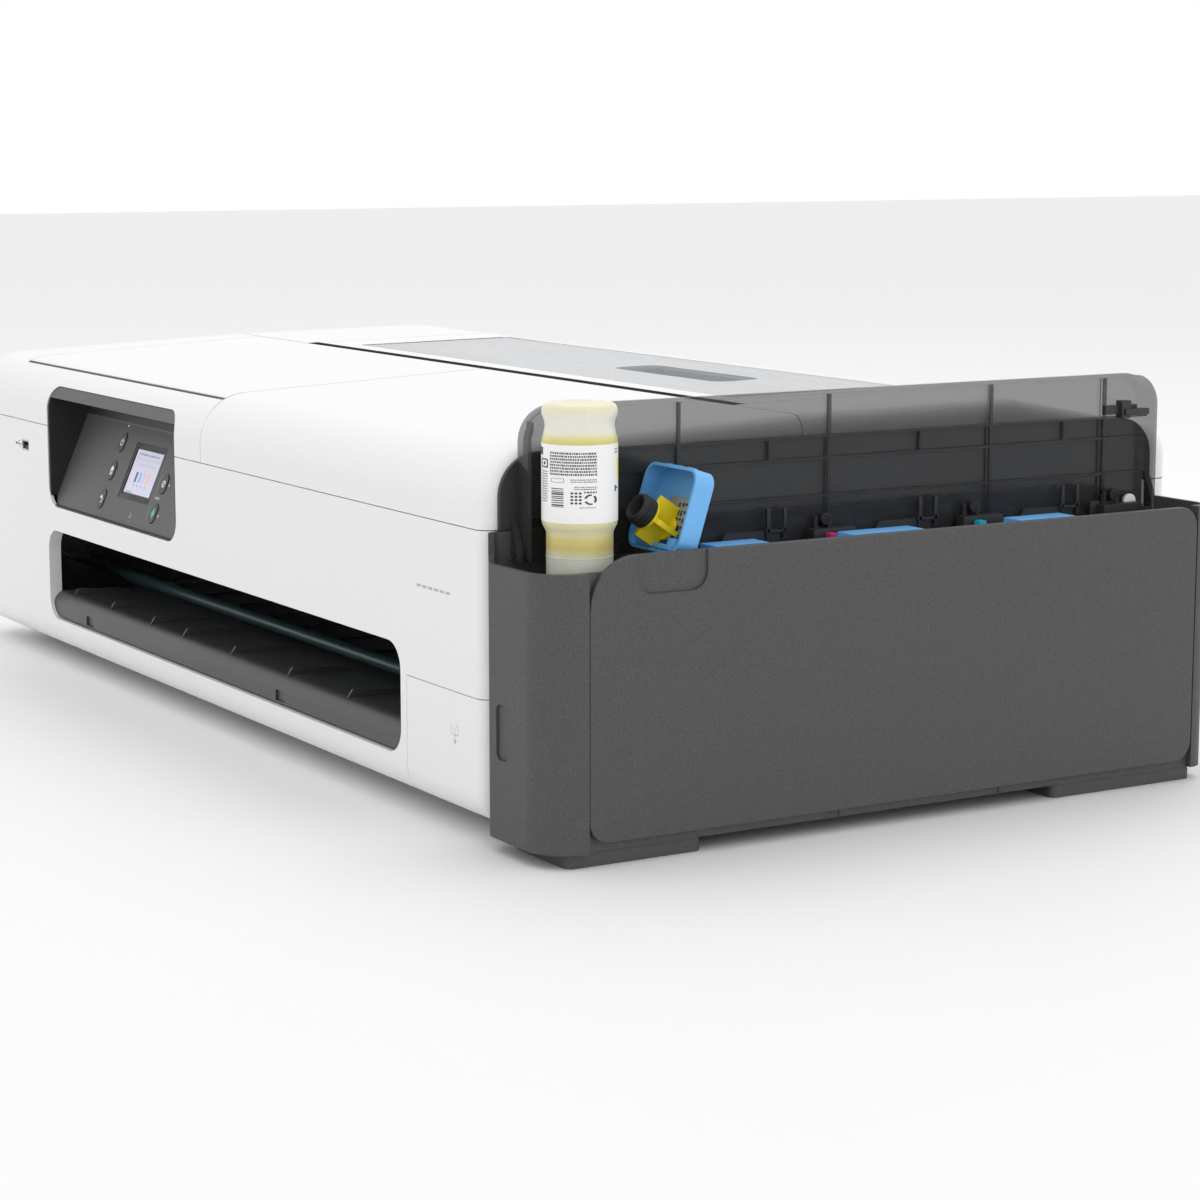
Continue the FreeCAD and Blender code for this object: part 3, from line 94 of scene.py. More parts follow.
def meshFrom(bm, name, smooth=True, outward=True, angle=34):
    if outward:
        bmesh.ops.recalc_face_normals(bm, faces=bm.faces)
    limit = math.radians(angle)
    for face in bm.faces:
        face.smooth = smooth
    for edge in bm.edges:
        edge.smooth = not edge.is_manifold or edge.calc_face_angle(0.0) < limit
    mesh = bpy.data.meshes.new(name)
    bm.to_mesh(mesh)
    bm.free()
    return mesh


def pieceFrom(bm, name, body, slot, material, **look):
    return asObject(name, meshFrom(bm, name, **look), body, slot, material)


def addBox(bm, low, high, bevel=0.0, turn=None):
    # corners and bevel in millimetres
    before = set(bm.faces)
    made = bmesh.ops.create_cube(bm, size=1.0)["verts"]
    low, high = Vector([c * mm for c in low]), Vector([c * mm for c in high])
    for vert in made:
        vert.co = (low + high) / 2 + Vector(c * s for c, s in zip(vert.co, high - low))
    if bevel:
        edges = list({edge for vert in made for edge in vert.link_edges})
        bmesh.ops.bevel(bm, geom=edges, offset=bevel * mm, segments=2, profile=0.7, affect="EDGES")
    if turn is not None:
        added = [face for face in bm.faces if face not in before]
        bmesh.ops.transform(bm, matrix=turn, verts=list({v for face in added for v in face.verts}))


def addLathe(bm, profile, centre, turns=48, place=None):
    # profile: (radius, height) from the bottom up, closed by a pole where the radius is 0
    rings = []
    for radius, height in profile:
        if radius < 1e-6:
            rings.append([bm.verts.new((centre[0], centre[1], height))])
            continue
        ring = []
        for step in range(turns):
            a = 2 * math.pi * step / turns
            ring.append(bm.verts.new((centre[0] + radius * math.cos(a), centre[1] + radius * math.sin(a),
                                      height)))
        rings.append(ring)
    for lower, upper in zip(rings, rings[1:]):
        for step in range(turns):
            after = (step + 1) % turns
            corners = [lower[step % len(lower)], lower[after % len(lower)]]
            corners += [upper[after % len(upper)], upper[step % len(upper)]]
            corners = list(dict.fromkeys(corners))
            if len(corners) > 2:
                bm.faces.new(corners)
    if place is not None:
        bmesh.ops.transform(bm, matrix=place, verts=[v for ring in rings for v in ring])


def addPlate(bm, outline, low, high, toSpace):
    # a flat outline (u, v) thickened from low to high along its own normal
    base = [bm.verts.new(toSpace(u, v, low)) for u, v in outline]
    top = [bm.verts.new(toSpace(u, v, high)) for u, v in outline]
    bm.faces.new(base)
    bm.faces.new(list(reversed(top)))
    count = len(outline)
    for step in range(count):
        after = (step + 1) % count
        bm.faces.new((base[step], top[step], top[after], base[after]))


def ringOutline(radius, count=20, centre=(0.0, 0.0)):
    return [
        (centre[0] + radius * math.cos(2 * math.pi * k / count),
         centre[1] + radius * math.sin(2 * math.pi * k / count))
        for k in range(count)
    ]


def stroke(points, width):
    # the outline of an open line of constant width
    left, right = [], []
    for index, point in enumerate(points):
        before = Vector(points[max(index - 1, 0)])
        after = Vector(points[min(index + 1, len(points) - 1)])
        along = (after - before).normalized()
        across = Vector((-along.y, along.x)) * width / 2
        left.append(tuple(Vector(point) + across))
        right.append(tuple(Vector(point) - across))
    return left + right[::-1]


# ---- shader groups, each built once ----
def groupWith(name, inputs, outputs):
    group = bpy.data.node_groups.new(name, "ShaderNodeTree")
    for label, kind, value in inputs:
        socket = group.interface.new_socket(name=label, in_out="INPUT", socket_type=kind)
        socket.default_value = value
    for label, kind in outputs:
        group.interface.new_socket(name=label, in_out="OUTPUT", socket_type=kind)
    return group, group.nodes.new("NodeGroupInput").outputs, group.nodes.new("NodeGroupOutput").inputs


def objectPlace(tree):
    return tree.nodes.new("ShaderNodeTexCoord").outputs["Object"]


def feed(tree, socket, value):
    # a socket is linked and anything else is set as the value
    if isinstance(value, bpy.types.NodeSocket):
        tree.links.new(value, socket)
    else:
        socket.default_value = value


def mathNode(group, operation, first, second):
    node = group.nodes.new("ShaderNodeMath")
    node.operation = operation
    for socket, value in zip(node.inputs, (first, second)):
        feed(group, socket, value)
    return node.outputs[0]


def noiseNode(group, vector, scale, detail=2.0, rough=0.5):
    node = group.nodes.new("ShaderNodeTexNoise")
    node.inputs["Detail"].default_value = detail
    node.inputs["Roughness"].default_value = rough
    group.links.new(vector, node.inputs["Vector"])
    feed(group, node.inputs["Scale"], scale)
    return node.outputs["Fac"]


def spread(group, value, low, high, newLow=0.0, newHigh=1.0):
    node = group.nodes.new("ShaderNodeMapRange")
    for label, number in (("From Min", low), ("From Max", high), ("To Min", newLow), ("To Max", newHigh)):
        feed(group, node.inputs[label], number)
    group.links.new(value, node.inputs["Value"])
    return node.outputs["Result"]


def mixColours(group, factor, first, second, blend="MIX"):
    node = group.nodes.new("ShaderNodeMix")
    node.data_type = "RGBA"
    node.blend_type = blend
    for socket, value in zip((node.inputs[0], node.inputs[6], node.inputs[7]), (factor, first, second)):
        feed(group, socket, value)
    return node.outputs[2]


def buildMouldGrain():
    # spark-eroded mould texture: fine grain, lighter specks and slow tone drift
    group, given, result = groupWith(
        "mouldGrain",
        (
            ("Base", "NodeSocketColor", (0.8, 0.8, 0.8, 1)),
            ("Speck", "NodeSocketColor", (0.9, 0.9, 0.9, 1)),
            ("Grain", "NodeSocketFloat", 900.0),
            ("Specks", "NodeSocketFloat", 0.3),
            ("Drift", "NodeSocketFloat", 0.04),
            ("Gloss", "NodeSocketFloat", 0.4),
        ),
        (("Color", "NodeSocketColor"), ("Roughness", "NodeSocketFloat"), ("Height", "NodeSocketFloat")),
    )
    place = objectPlace(group)
    fine = noiseNode(group, place, given["Grain"], 2.0, 0.6)
    wide = noiseNode(group, place, 7.0, 2.0)
    specks = mathNode(group, "MULTIPLY", spread(group, fine, 0.50, 0.66), given["Specks"])
    tinted = mixColours(group, specks, given["Base"], given["Speck"])
    drift = mathNode(group, "MULTIPLY", mathNode(group, "SUBTRACT", wide, 0.5), given["Drift"])
    bright = mathNode(group, "ADD", drift, 1.0)
    grey = group.nodes.new("ShaderNodeCombineColor")
    for socket in grey.inputs:
        group.links.new(bright, socket)
    linkNodes(
        group,
        (mixColours(group, 1.0, tinted, grey.outputs[0], "MULTIPLY"), result["Color"]),
        (fine, result["Height"]),
    )
    rough = mathNode(group, "ADD", given["Gloss"], mathNode(group, "MULTIPLY",
                                                            mathNode(group, "SUBTRACT", wide, 0.5), 0.12))
    group.links.new(rough, result["Roughness"])
    return group


def buildWipeMarks():
    # faint smears and hair scratches on clear and glossy plastics
    group, given, result = groupWith(
        "wipeMarks",
        (("Gloss", "NodeSocketFloat", 0.1), ("Smear", "NodeSocketFloat", 0.1),
         ("Stretch", "NodeSocketFloat", 8.0)),
        (("Roughness", "NodeSocketFloat"), ("Height", "NodeSocketFloat")),
    )
    place = objectPlace(group)
    mapping = group.nodes.new("ShaderNodeMapping")
    mapping.inputs["Scale"].default_value = (1.0, 6.0, 6.0)
    group.links.new(place, mapping.inputs["Vector"])
    smear = noiseNode(group, mapping.outputs[0], given["Stretch"], 4.0, 0.6)
    scratches = noiseNode(group, mapping.outputs[0], 30.0, 1.0)
    marks = mathNode(group, "MULTIPLY", spread(group, smear, 0.45, 0.7), given["Smear"])
    linkNodes(
        group,
        (mathNode(group, "ADD", given["Gloss"], marks), result["Roughness"]),
        (mathNode(group, "MULTIPLY", scratches, 0.4), result["Height"]),
    )
    return group


def buildBrushed():
    # lines drawn along X by a rolling or grinding tool
    group, given, result = groupWith(
        "brushedLines",
        (("Light", "NodeSocketColor", (0.6, 0.6, 0.6, 1)), ("Dark", "NodeSocketColor", (0.4, 0.4, 0.4, 1)),
         ("Lines", "NodeSocketFloat", 400.0)),
        (("Color", "NodeSocketColor"), ("Roughness", "NodeSocketFloat"), ("Height", "NodeSocketFloat")),
    )
    place = objectPlace(group)
    mapping = group.nodes.new("ShaderNodeMapping")
    mapping.inputs["Scale"].default_value = (0.02, 1.0, 1.0)
    group.links.new(place, mapping.inputs["Vector"])
    lines = noiseNode(group, mapping.outputs[0], given["Lines"], 3.0, 0.7)
    linkNodes(
        group,
        (mixColours(group, lines, given["Dark"], given["Light"]), result["Color"]),
        (spread(group, lines, 0.3, 0.7, 0.24, 0.42), result["Roughness"]),
        (lines, result["Height"]),
    )
    return group


mouldGrain, wipeMarks, brushedLines = buildMouldGrain(), buildWipeMarks(), buildBrushed()


def shaderWith(name, bumpDepth, bumpStrength, **constants):
    material = bpy.data.materials.new(name)
    material.use_nodes = True
    tree = material.node_tree
    shader = tree.nodes["Principled BSDF"]
    for label, value in constants.items():
        shader.inputs[label].default_value = value
    bump = tree.nodes.new("ShaderNodeBump")
    bump.inputs["Distance"].default_value = bumpDepth
    bump.inputs["Strength"].default_value = bumpStrength
    tree.links.new(bump.outputs["Normal"], shader.inputs["Normal"])
    return material, tree, shader, bump


def textured(name, groupTree, values, depth, strength, **constants):
    # what the group gives out goes to the shader, and its height to the bump (depth in millimetres)
    material, tree, shader, bump = shaderWith(name, depth * mm, strength, **constants)
    group = tree.nodes.new("ShaderNodeGroup")
    group.node_tree = groupTree
    for label, value in values.items():
        group.inputs[label].default_value = value
    goals = {"Color": shader.inputs["Base Color"], "Roughness": shader.inputs["Roughness"],
             "Height": bump.inputs["Height"]}
    for socket in group.outputs:
        tree.links.new(socket, goals[socket.name])
    return material


def moulded(name, base, speck, grain=900.0, specks=0.3, drift=0.04, gloss=0.4, depth=0.05, strength=0.3):
    values = {"Base": (*base, 1), "Speck": (*speck, 1), "Grain": grain, "Specks": specks, "Drift": drift,
              "Gloss": gloss}
    return textured(name, mouldGrain, values, depth, strength)


def glossy(name, colour, gloss, smear, stretch=8.0, **constants):
    values = {"Gloss": gloss, "Smear": smear, "Stretch": stretch}
    return textured(name, wipeMarks, values, 0.02, 0.08, **{"Base Color": (*colour, 1)}, **constants)


def brushed(name, light, dark, lines=500.0, metal=1.0):
    values = {"Light": (*light, 1), "Dark": (*dark, 1), "Lines": lines}
    return textured(name, brushedLines, values, 0.02, 0.2, Metallic=metal)


def layered(name, stops, low, high, gloss, **constants):
    # colour by height between low and high, softened by a slow noise, as liquid shows through a wall
    material, tree, shader, bump = shaderWith(name, 0.05 * mm, 0.1, **constants)
    place = objectPlace(tree)
    apart = tree.nodes.new("ShaderNodeSeparateXYZ")
    tree.links.new(place, apart.inputs[0])
    wobble = noiseNode(tree, place, 40.0, 2.0)
    shifted = mathNode(tree, "ADD", apart.outputs["Z"],
                       mathNode(tree, "MULTIPLY", mathNode(tree, "SUBTRACT", wobble, 0.5), 2 * mm))
    share = spread(tree, shifted, low, high)
    ramp = tree.nodes.new("ShaderNodeValToRGB")
    tree.links.new(share, ramp.inputs[0])
    elements = ramp.color_ramp.elements
    elements[0].color = elements[1].color = (*stops[0][1], 1)
    elements[1].position = 0.001
    for height, colour in stops:
        elements.new((height * mm - low) / (high - low)).color = (*colour, 1)
    linkNodes(
        tree,
        (ramp.outputs[0], shader.inputs["Base Color"]),
        (spread(tree, wobble, 0.3, 0.7, gloss - 0.04, gloss + 0.06), shader.inputs["Roughness"]),
        (noiseNode(tree, place, 700.0), bump.inputs["Height"]),
    )
    return material


white = moulded("whiteCasing", (0.80, 0.80, 0.81), (0.85, 0.85, 0.86), 1100, 0.25, 0.015, 0.38, 0.02, 0.08)
# the dark inner grey below is the colour of the inner parts, and is also painted shade on the white casing's
# inner and gap faces and on the strip under the scanner lid's lip
innerGreyAndShade = moulded("innerGreyAndShade", (0.035, 0.036, 0.038), (0.05, 0.05, 0.052), 700, 0.3, 0.1, 0.6, 0.05, 0.2)
panelGrey = moulded("panelGrey", (0.088, 0.089, 0.090), (0.12, 0.12, 0.122), 1000, 0.35, 0.06, 0.48, 0.03,
                    0.15)
# a darker copy of the panel grey below, used as painted shade on the panel faces that turn away from the key
# field
panelShade = moulded("panelShade", (0.016, 0.016, 0.017), (0.024, 0.024, 0.025), 1000, 0.35, 0.06, 0.5, 0.03,
                     0.15)
guideBlack = moulded("guidePlastic", (0.046, 0.047, 0.049), (0.068, 0.069, 0.072), 900, 0.3, 0.12, 0.38, 0.04,
                     0.2)
tankGrey = moulded("tankPlastic", (0.058, 0.058, 0.059), (0.105, 0.106, 0.108), 1100, 0.6, 0.04, 0.55, 0.08,
                   0.4)
tankInside = moulded("tankInside", (0.022, 0.022, 0.024), (0.04, 0.04, 0.042), 700, 0.3, 0.1, 0.5, 0.05, 0.25)
rubber = moulded("rubberBlack", (0.018, 0.018, 0.018), (0.035, 0.035, 0.035), 500, 0.4, 0.15, 0.72, 0.08, 0.4)
keyPlastic = moulded("keyPlastic", (0.022, 0.022, 0.023), (0.04, 0.04, 0.042), 1200, 0.3, 0.05, 0.32, 0.02,
                     0.15)
capBlue = moulded("capBlue", (0.145, 0.43, 0.82), (0.19, 0.50, 0.88), 800, 0.25, 0.05, 0.38, 0.03, 0.15)
inkYellow = moulded("stemYellow", (0.90, 0.72, 0.012), (0.95, 0.80, 0.05), 700, 0.25, 0.05, 0.34, 0.03, 0.15)
inkMagenta = moulded("markMagenta", (0.62, 0.03, 0.20), (0.7, 0.06, 0.28), 700, 0.2, 0.05, 0.4)
inkCyan = moulded("markCyan", (0.01, 0.42, 0.62), (0.05, 0.5, 0.7), 700, 0.2, 0.05, 0.4)
foam = moulded("foamPad", (0.74, 0.74, 0.72), (0.86, 0.86, 0.84), 450, 0.5, 0.05, 0.85, 0.25, 0.5)
boardGreen = moulded("boardGreen", (0.012, 0.13, 0.06), (0.02, 0.2, 0.09), 260, 0.5, 0.15, 0.35, 0.05, 0.3)
coreGrey = moulded("corePlastic", (0.06, 0.062, 0.066), (0.09, 0.09, 0.095), 800, 0.3, 0.08, 0.42, 0.04, 0.2)
tagGrey = moulded("tagGrey", (0.30, 0.30, 0.29), (0.42, 0.42, 0.40), 900, 0.4, 0.15, 0.45)
labelPaper = moulded("labelPaper", (0.86, 0.86, 0.86), (0.92, 0.92, 0.92), 600, 0.3, 0.02, 0.4, 0.02, 0.1)
labelInk = moulded("labelInk", (0.03, 0.03, 0.03), (0.06, 0.06, 0.06), 900, 0.3, 0.05, 0.5)
labelYellow = moulded("labelYellow", (0.90, 0.80, 0.02), (0.95, 0.86, 0.05), 900, 0.2, 0.03, 0.4)
printGrey = moulded("printGrey", (0.42, 0.42, 0.43), (0.5, 0.5, 0.5), 900, 0.2, 0.03, 0.5)
smoked = glossy("smokedWindow", (0.045, 0.046, 0.048), 0.10, 0.12, 6.0, Alpha=0.50)
smokedRib = glossy("smokedRib", (0.030, 0.031, 0.032), 0.30, 0.1, 6.0, Alpha=0.55)
rollPane = glossy("rollWindow", (0.52, 0.54, 0.56), 0.14, 0.1, 5.0, Alpha=0.80)
bedGlass = glossy("bedGlass", (0.62, 0.70, 0.69), 0.03, 0.05, 4.0, Alpha=0.35)
blackGloss = glossy("blackTrim", (0.008, 0.008, 0.009), 0.34, 0.15, 20.0)
steel = brushed("rolledSteel", (0.62, 0.63, 0.65), (0.46, 0.47, 0.49))
darkSteel = brushed("motorSteel", (0.30, 0.31, 0.32), (0.2, 0.2, 0.21))
shaftTeal = brushed("coatedShaft", (0.045, 0.085, 0.095), (0.02, 0.045, 0.05), 300.0, 0.3)
beltRubber = moulded("beltRubber", (0.022, 0.022, 0.022), (0.04, 0.04, 0.04), 1500, 0.4, 0.1, 0.6, 0.06, 0.4)


def glowing(name, colour, strength):
    material, tree, shader, bump = shaderWith(name, 0.01 * mm, 0.05, Roughness=0.35)
    place = objectPlace(tree)
    shade = noiseNode(tree, place, 900.0, 1.0)
    dim = tuple(c * 0.93 for c in colour)
    mixed = mixColours(tree, spread(tree, shade, 0.3, 0.7), (*dim, 1), (*colour, 1))
    shader.inputs["Emission Strength"].default_value = strength
    linkNodes(tree, (mixed, shader.inputs["Base Color"]), (mixed, shader.inputs["Emission Color"]),
              (shade, bump.inputs["Height"]))
    return material


screenLit = glowing("screenLit", (0.60, 0.60, 0.74), 0.22)
screenInk = glowing("screenInk", (0.02, 0.02, 0.03), 0.1)
screenText = glowing("screenText", (0.25, 0.25, 0.33), 0.2)
screenCyan = glowing("screenCyan", (0.02, 0.40, 0.70), 0.4)
screenPink = glowing("screenPink", (0.72, 0.32, 0.66), 0.4)
screenAmber = glowing("screenAmber", (0.75, 0.42, 0.10), 0.4)
glyphWhite = glowing("glyphWhite", (0.78, 0.78, 0.78), 0.25)
glyphGrey = glowing("glyphGrey", (0.36, 0.36, 0.37), 0.1)
lampGreen = glowing("startGreen", (0.03, 0.42, 0.28), 0.35)
print("materials ready:", len(bpy.data.materials))


# ---- the printer's own solids: merged, smoothed and given their finishes ----
casingNodes = (
    "front_cover", "left_side_cover", "rear_cover", "rear_top_cover", "scanner_housing",
    "access_cover", "roll_cover", "maintenance_door", "scanner_lid",
)
casingSkin = {"front": -262.5 * mm, "collarDepth": 10.6 * mm, "reach": 0.9, "lift": 0.25 * mm}
finishes = {
    "lid_pad": ("foam", foam), "scanner_glass": ("glass", bedGlass), "scan_head": ("inner_plastic",
                                                                                   innerGreyAndShade),
    "roll_cover_window": ("roll_window", rollPane), "base_tray": ("inner_plastic", innerGreyAndShade),
    "rubber_feet": ("rubber", rubber), "output_guide": ("guide_plastic", guideBlack),
    "panel_housing": ("grey_panel", panelGrey), "display_bezel": ("black_trim", blackGloss),
    "display_glass": ("display", blackGloss), "front_usb_port": ("steel",
                                                                 steel), "rear_ports": ("inner_plastic",
                                                                                        innerGreyAndShade),
    "maintenance_cartridge": ("inner_plastic", coreGrey), "tank_tub": ("tank_plastic", tankGrey),
    "tank_cheek": ("tank_plastic", tankInside), "side_panel": ("tank_plastic", tankGrey),
    "ink_tanks": ("tank_wall", tankInside), "yellow_cap": ("cap_blue", capBlue), "magenta_cap": ("cap_blue",
                                                                                                 capBlue),
    "cyan_cap": ("cap_blue", capBlue), "black_cap": ("cap_blue", capBlue), "tank_cover": ("smoked_window",
                                                                                          smoked),
    "side_frames": ("steel", steel), "exit_shaft": ("shaft", shaftTeal), "feed_roller": ("shaft", shaftTeal),
    "pinch_rollers": ("belt", rubber), "platen": ("inner_plastic", guideBlack), "timing_belt": ("belt",
                                                                                                beltRubber),
    "idler_pulley": ("inner_plastic", coreGrey), "drive_pulley": ("inner_plastic", coreGrey),
    "carriage_motor": ("steel", darkSteel), "carriage_rail": ("steel", steel), "carriage": ("inner_plastic",
                                                                                            coreGrey),
    "print_head": ("inner_plastic", blackGloss), "feed_belt": ("belt", beltRubber),
    "motor_pulley": ("inner_plastic", coreGrey), "feed_motor": ("steel", darkSteel), "cutter_rail": ("steel",
                                                                                                     steel),
    "cutter": ("inner_plastic", guideBlack), "roll_spool": ("roll_core", coreGrey),
    "spool_holders": ("inner_plastic", innerGreyAndShade), "main_board": ("board", boardGreen),
    "power_supply": ("steel", steel), "case_screws": ("steel", darkSteel),
}
for key in ("power", "home", "back", "stop", "start"):
    finishes[key + "_button"] = ("key_plastic", keyPlastic)
bodyOf = {node: body for body, members in frame["record"]["behaviour"]["bodies"].items() for node in members}


def pieceName(node):
    first, *rest = node.split("_")
    return first + "".join(word.title() for word in rest) + "Shape"


def mergedMesh(node):
    bm = bmesh.new()
    bm.from_mesh(nodes[node].data)
    bmesh.ops.remove_doubles(bm, verts=bm.verts, dist=1e-6)
    return bm


standBack = 0.15 * mm
skinBox = (Vector(cadBox[0]) + Vector((standBack, standBack, 0.0)),
           Vector(cadBox[1]) - Vector((standBack, standBack, 0.0)))


def drawnIn(bm):
    # the outermost walls stand back by a hair, which leaves room for vents and printed signs on them
    for vert in bm.verts:
        for axis in (0, 1):
            vert.co[axis] = min(max(vert.co[axis], skinBox[0][axis]), skinBox[1][axis])


def weighted(mesh):
    # flat faces keep their own normal beside a rounded edge
    holder = inScene("holder", mesh)
    modifier = holder.modifiers.new("weights", "WEIGHTED_NORMAL")
    modifier.keep_sharp = True
    return evaluated(holder)


casingTree = []
for node in casingNodes:
    merged = mergedMesh(node)
    casingTree.append(BVHTree.FromBMesh(merged))
    merged.free()


def takesPaintedShade(face):
    # a skin face that looks at another skin face from behind the front collar is on the inside or across a
    # gap, and is painted dark inner grey there: painted shade on the white casing
    centre, normal = face.calc_center_median(), face.normal
    if centre.y < casingSkin["front"] + casingSkin["collarDepth"] and normal.y < 0.7:
        return False
    start = centre + normal * casingSkin["lift"]
    return any(tree.ray_cast(start, normal, casingSkin["reach"])[0] is not None for tree in casingTree)


for node in casingNodes:
    bm = mergedMesh(node)
    for face in bm.faces:
        # faces that look at other casing faces get the second material, the dark inner grey, as painted shade
        face.material_index = 1 if takesPaintedShade(face) else 0
    drawnIn(bm)
    mesh = weighted(meshFrom(bm, pieceName(node), outward=False))
    piece = asObject(pieceName(node), mesh, bodyOf[node], "white_casing", white, innerGreyAndShade)
    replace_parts(piece, node)
panelNormal = Vector((0.0, -0.9184, 0.3955))
for node, (slotName, material) in finishes.items():
    bm = mergedMesh(node)
    spare = []
    if node == "panel_housing":
        # painted shade: the hood and cheek faces that turn away from the sloping key field get a darker copy
        # of the panel grey, so the key field reads lighter than the hood and cheeks round it
        spare = [panelShade]
        for face in bm.faces:
            face.material_index = 0 if face.normal.dot(panelNormal) > 0.97 else 1
    drawnIn(bm)
    mesh = weighted(meshFrom(bm, pieceName(node), outward=False))
    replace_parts(asObject(pieceName(node), mesh, bodyOf[node], slotName, material, *spare), node)
print("solids finished:", len(casingNodes) + len(finishes))


# ---- shadow strip under the scanner lid's front lip ----
lidLip = {"x": (-0.3972, -0.0056), "y": (-0.2440, -0.2434, -0.2428, -0.2422, -0.2416), "lift": 0.12 * mm,
          "sink": 1.5 * mm}


def lipShadow():
    housing = casingTree[casingNodes.index("scanner_housing")]
    lid = casingTree[casingNodes.index("scanner_lid")]
    middle = sum(lidLip["x"]) / 2
    line = []
    for y in lidLip["y"]:
        hits = [tree.ray_cast(Vector((middle, y, 0.3)), Vector((0, 0, -1)))[0] for tree in (housing, lid)]
        heights = [hit.z for hit in hits if hit is not None and hit.z > 0.2]
        if heights:
            line.append((y, max(heights)))
    bm = bmesh.new()
    outline = [(y, z + lidLip["lift"]) for y, z in line] + [(y, z - lidLip["sink"]) for y,
                                                            z in reversed(line)]
    addPlate(bm, outline, *lidLip["x"], lambda u, v, across: Vector((across, u, v)))
    # the dark strip stands where the lip's shadow falls: painted shadow, filed with the inner plastic
    pieceFrom(bm, "lidLipShadow", "root", "inner_plastic", innerGreyAndShade)
    print("lid lip heights:", [round(z * 1000, 1) for _, z in line])


lipShadow()


# ---- geometry node trees for what repeats ----
def nodeTree(name, sockets):
    tree = bpy.data.node_groups.new(name, "GeometryNodeTree")
    tree.interface.new_socket(name="Geometry", in_out="INPUT", socket_type="NodeSocketGeometry")
    for label, kind in sockets:
        tree.interface.new_socket(name=label, in_out="INPUT", socket_type=kind)
    tree.interface.new_socket(name="Geometry", in_out="OUTPUT", socket_type="NodeSocketGeometry")
    return tree, tree.nodes.new("NodeGroupInput").outputs, tree.nodes.new("NodeGroupOutput").inputs


def closeTree(tree, instances, given, result):
    real = tree.nodes.new("GeometryNodeRealizeInstances")
    paint = tree.nodes.new("GeometryNodeSetMaterial")
    linkNodes(
        tree,
        (instances, real.inputs["Geometry"]),
        (real.outputs["Geometry"], paint.inputs["Geometry"]),
        (given["Finish"], paint.inputs["Material"]),
        (paint.outputs["Geometry"], result["Geometry"]),
    )


def buildBlockRow():
    # equal blocks set out in a straight row
    tree, given, result = nodeTree("blockRow", (
        ("Count", "NodeSocketInt"), ("Start", "NodeSocketVector"), ("Step", "NodeSocketVector"),
        ("Block", "NodeSocketVector"), ("Turn", "NodeSocketVector"), ("Finish", "NodeSocketMaterial"),
    ))
    line = tree.nodes.new("GeometryNodeMeshLine")
    line.mode = "OFFSET"
    block = tree.nodes.new("GeometryNodeMeshCube")
    spreadOut = tree.nodes.new("GeometryNodeInstanceOnPoints")
    linkNodes(
        tree,
        (given["Count"], line.inputs["Count"]), (given["Start"], line.inputs["Start Location"]),
        (given["Step"], line.inputs["Offset"]), (given["Block"], block.inputs["Size"]),
        (line.outputs[0], spreadOut.inputs["Points"]), (block.outputs[0], spreadOut.inputs["Instance"]),
        (given["Turn"], spreadOut.inputs["Rotation"]),
    )
    closeTree(tree, spreadOut.outputs[0], given, result)
    return tree


def buildBlockRing():
    # equal blocks set round an axis, each turned outwards
    tree, given, result = nodeTree("blockRing", (
        ("Count", "NodeSocketInt"), ("Radius", "NodeSocketFloat"), ("Centre", "NodeSocketVector"),
        ("Block", "NodeSocketVector"), ("Turn", "NodeSocketVector"), ("Finish", "NodeSocketMaterial"),
    ))
    ring = tree.nodes.new("GeometryNodeMeshCircle")
    block = tree.nodes.new("GeometryNodeMeshCube")
    spreadOut = tree.nodes.new("GeometryNodeInstanceOnPoints")
    lineUp = tree.nodes.new("FunctionNodeAlignEulerToVector")
    lineUp.axis = "X"
    place = tree.nodes.new("GeometryNodeInputPosition")
    move = tree.nodes.new("GeometryNodeTransform")
    linkNodes(
        tree,
        (given["Count"], ring.inputs["Vertices"]), (given["Radius"], ring.inputs["Radius"]),
        (given["Block"], block.inputs["Size"]), (place.outputs[0], lineUp.inputs["Vector"]),
        (ring.outputs[0], spreadOut.inputs["Points"]), (block.outputs[0], spreadOut.inputs["Instance"]),
        (lineUp.outputs[0], spreadOut.inputs["Rotation"]), (spreadOut.outputs[0], move.inputs["Geometry"]),
        (given["Centre"], move.inputs["Translation"]), (given["Turn"], move.inputs["Rotation"]),
    )
    closeTree(tree, move.outputs[0], given, result)
    return tree


blockRow, blockRing = buildBlockRow(), buildBlockRing()


def grown(name, tree, values, body, slotName, material):
    holder = inScene("holder", bpy.data.meshes.new("holder"))
    modifier = holder.modifiers.new("tree", "NODES")
    modifier.node_group = tree
    sockets = {item.name: item.identifier for item in tree.interface.items_tree if item.in_out == "INPUT"}
    for label, value in values.items():
        modifier[sockets[label]] = value
    modifier[sockets["Finish"]] = material
    bpy.context.view_layer.update()
    mesh = evaluated(holder)
    mesh.name = name
    return asObject(name, mesh, body, slotName, material)


# ---- repeats on the casing ----
# count, start, step and block size in metres
rows = {
    "rearVents": (26, (-0.060, 0.26214, 0.060), (0.011, 0, 0), (0.0042, 0.0006, 0.038), "inner_plastic",
                  innerGreyAndShade),
    "leftVents": (20, (-0.48364, 0.020, 0.048), (0, 0.009, 0), (0.0006, 0.0036, 0.030), "inner_plastic",
                  innerGreyAndShade),
    "beltTeeth": (291, (-0.4130, -0.093, 0.14973), (0.00266, 0, 0), (0.0012, 0.0058, 0.0005), "belt",
                  beltRubber),
}
for name, (count, start, step, block, slotName, material) in rows.items():
    values = {"Count": count, "Start": start, "Step": step, "Block": block}
    grown(name, blockRow, values, "root", slotName, material)
pulleyRing = {"Count": 24, "Radius": 7.9 * mm, "Block": (0.5 * mm, 1.0 * mm, 5.4 * mm),
              "Turn": (math.radians(90), 0, 0)}
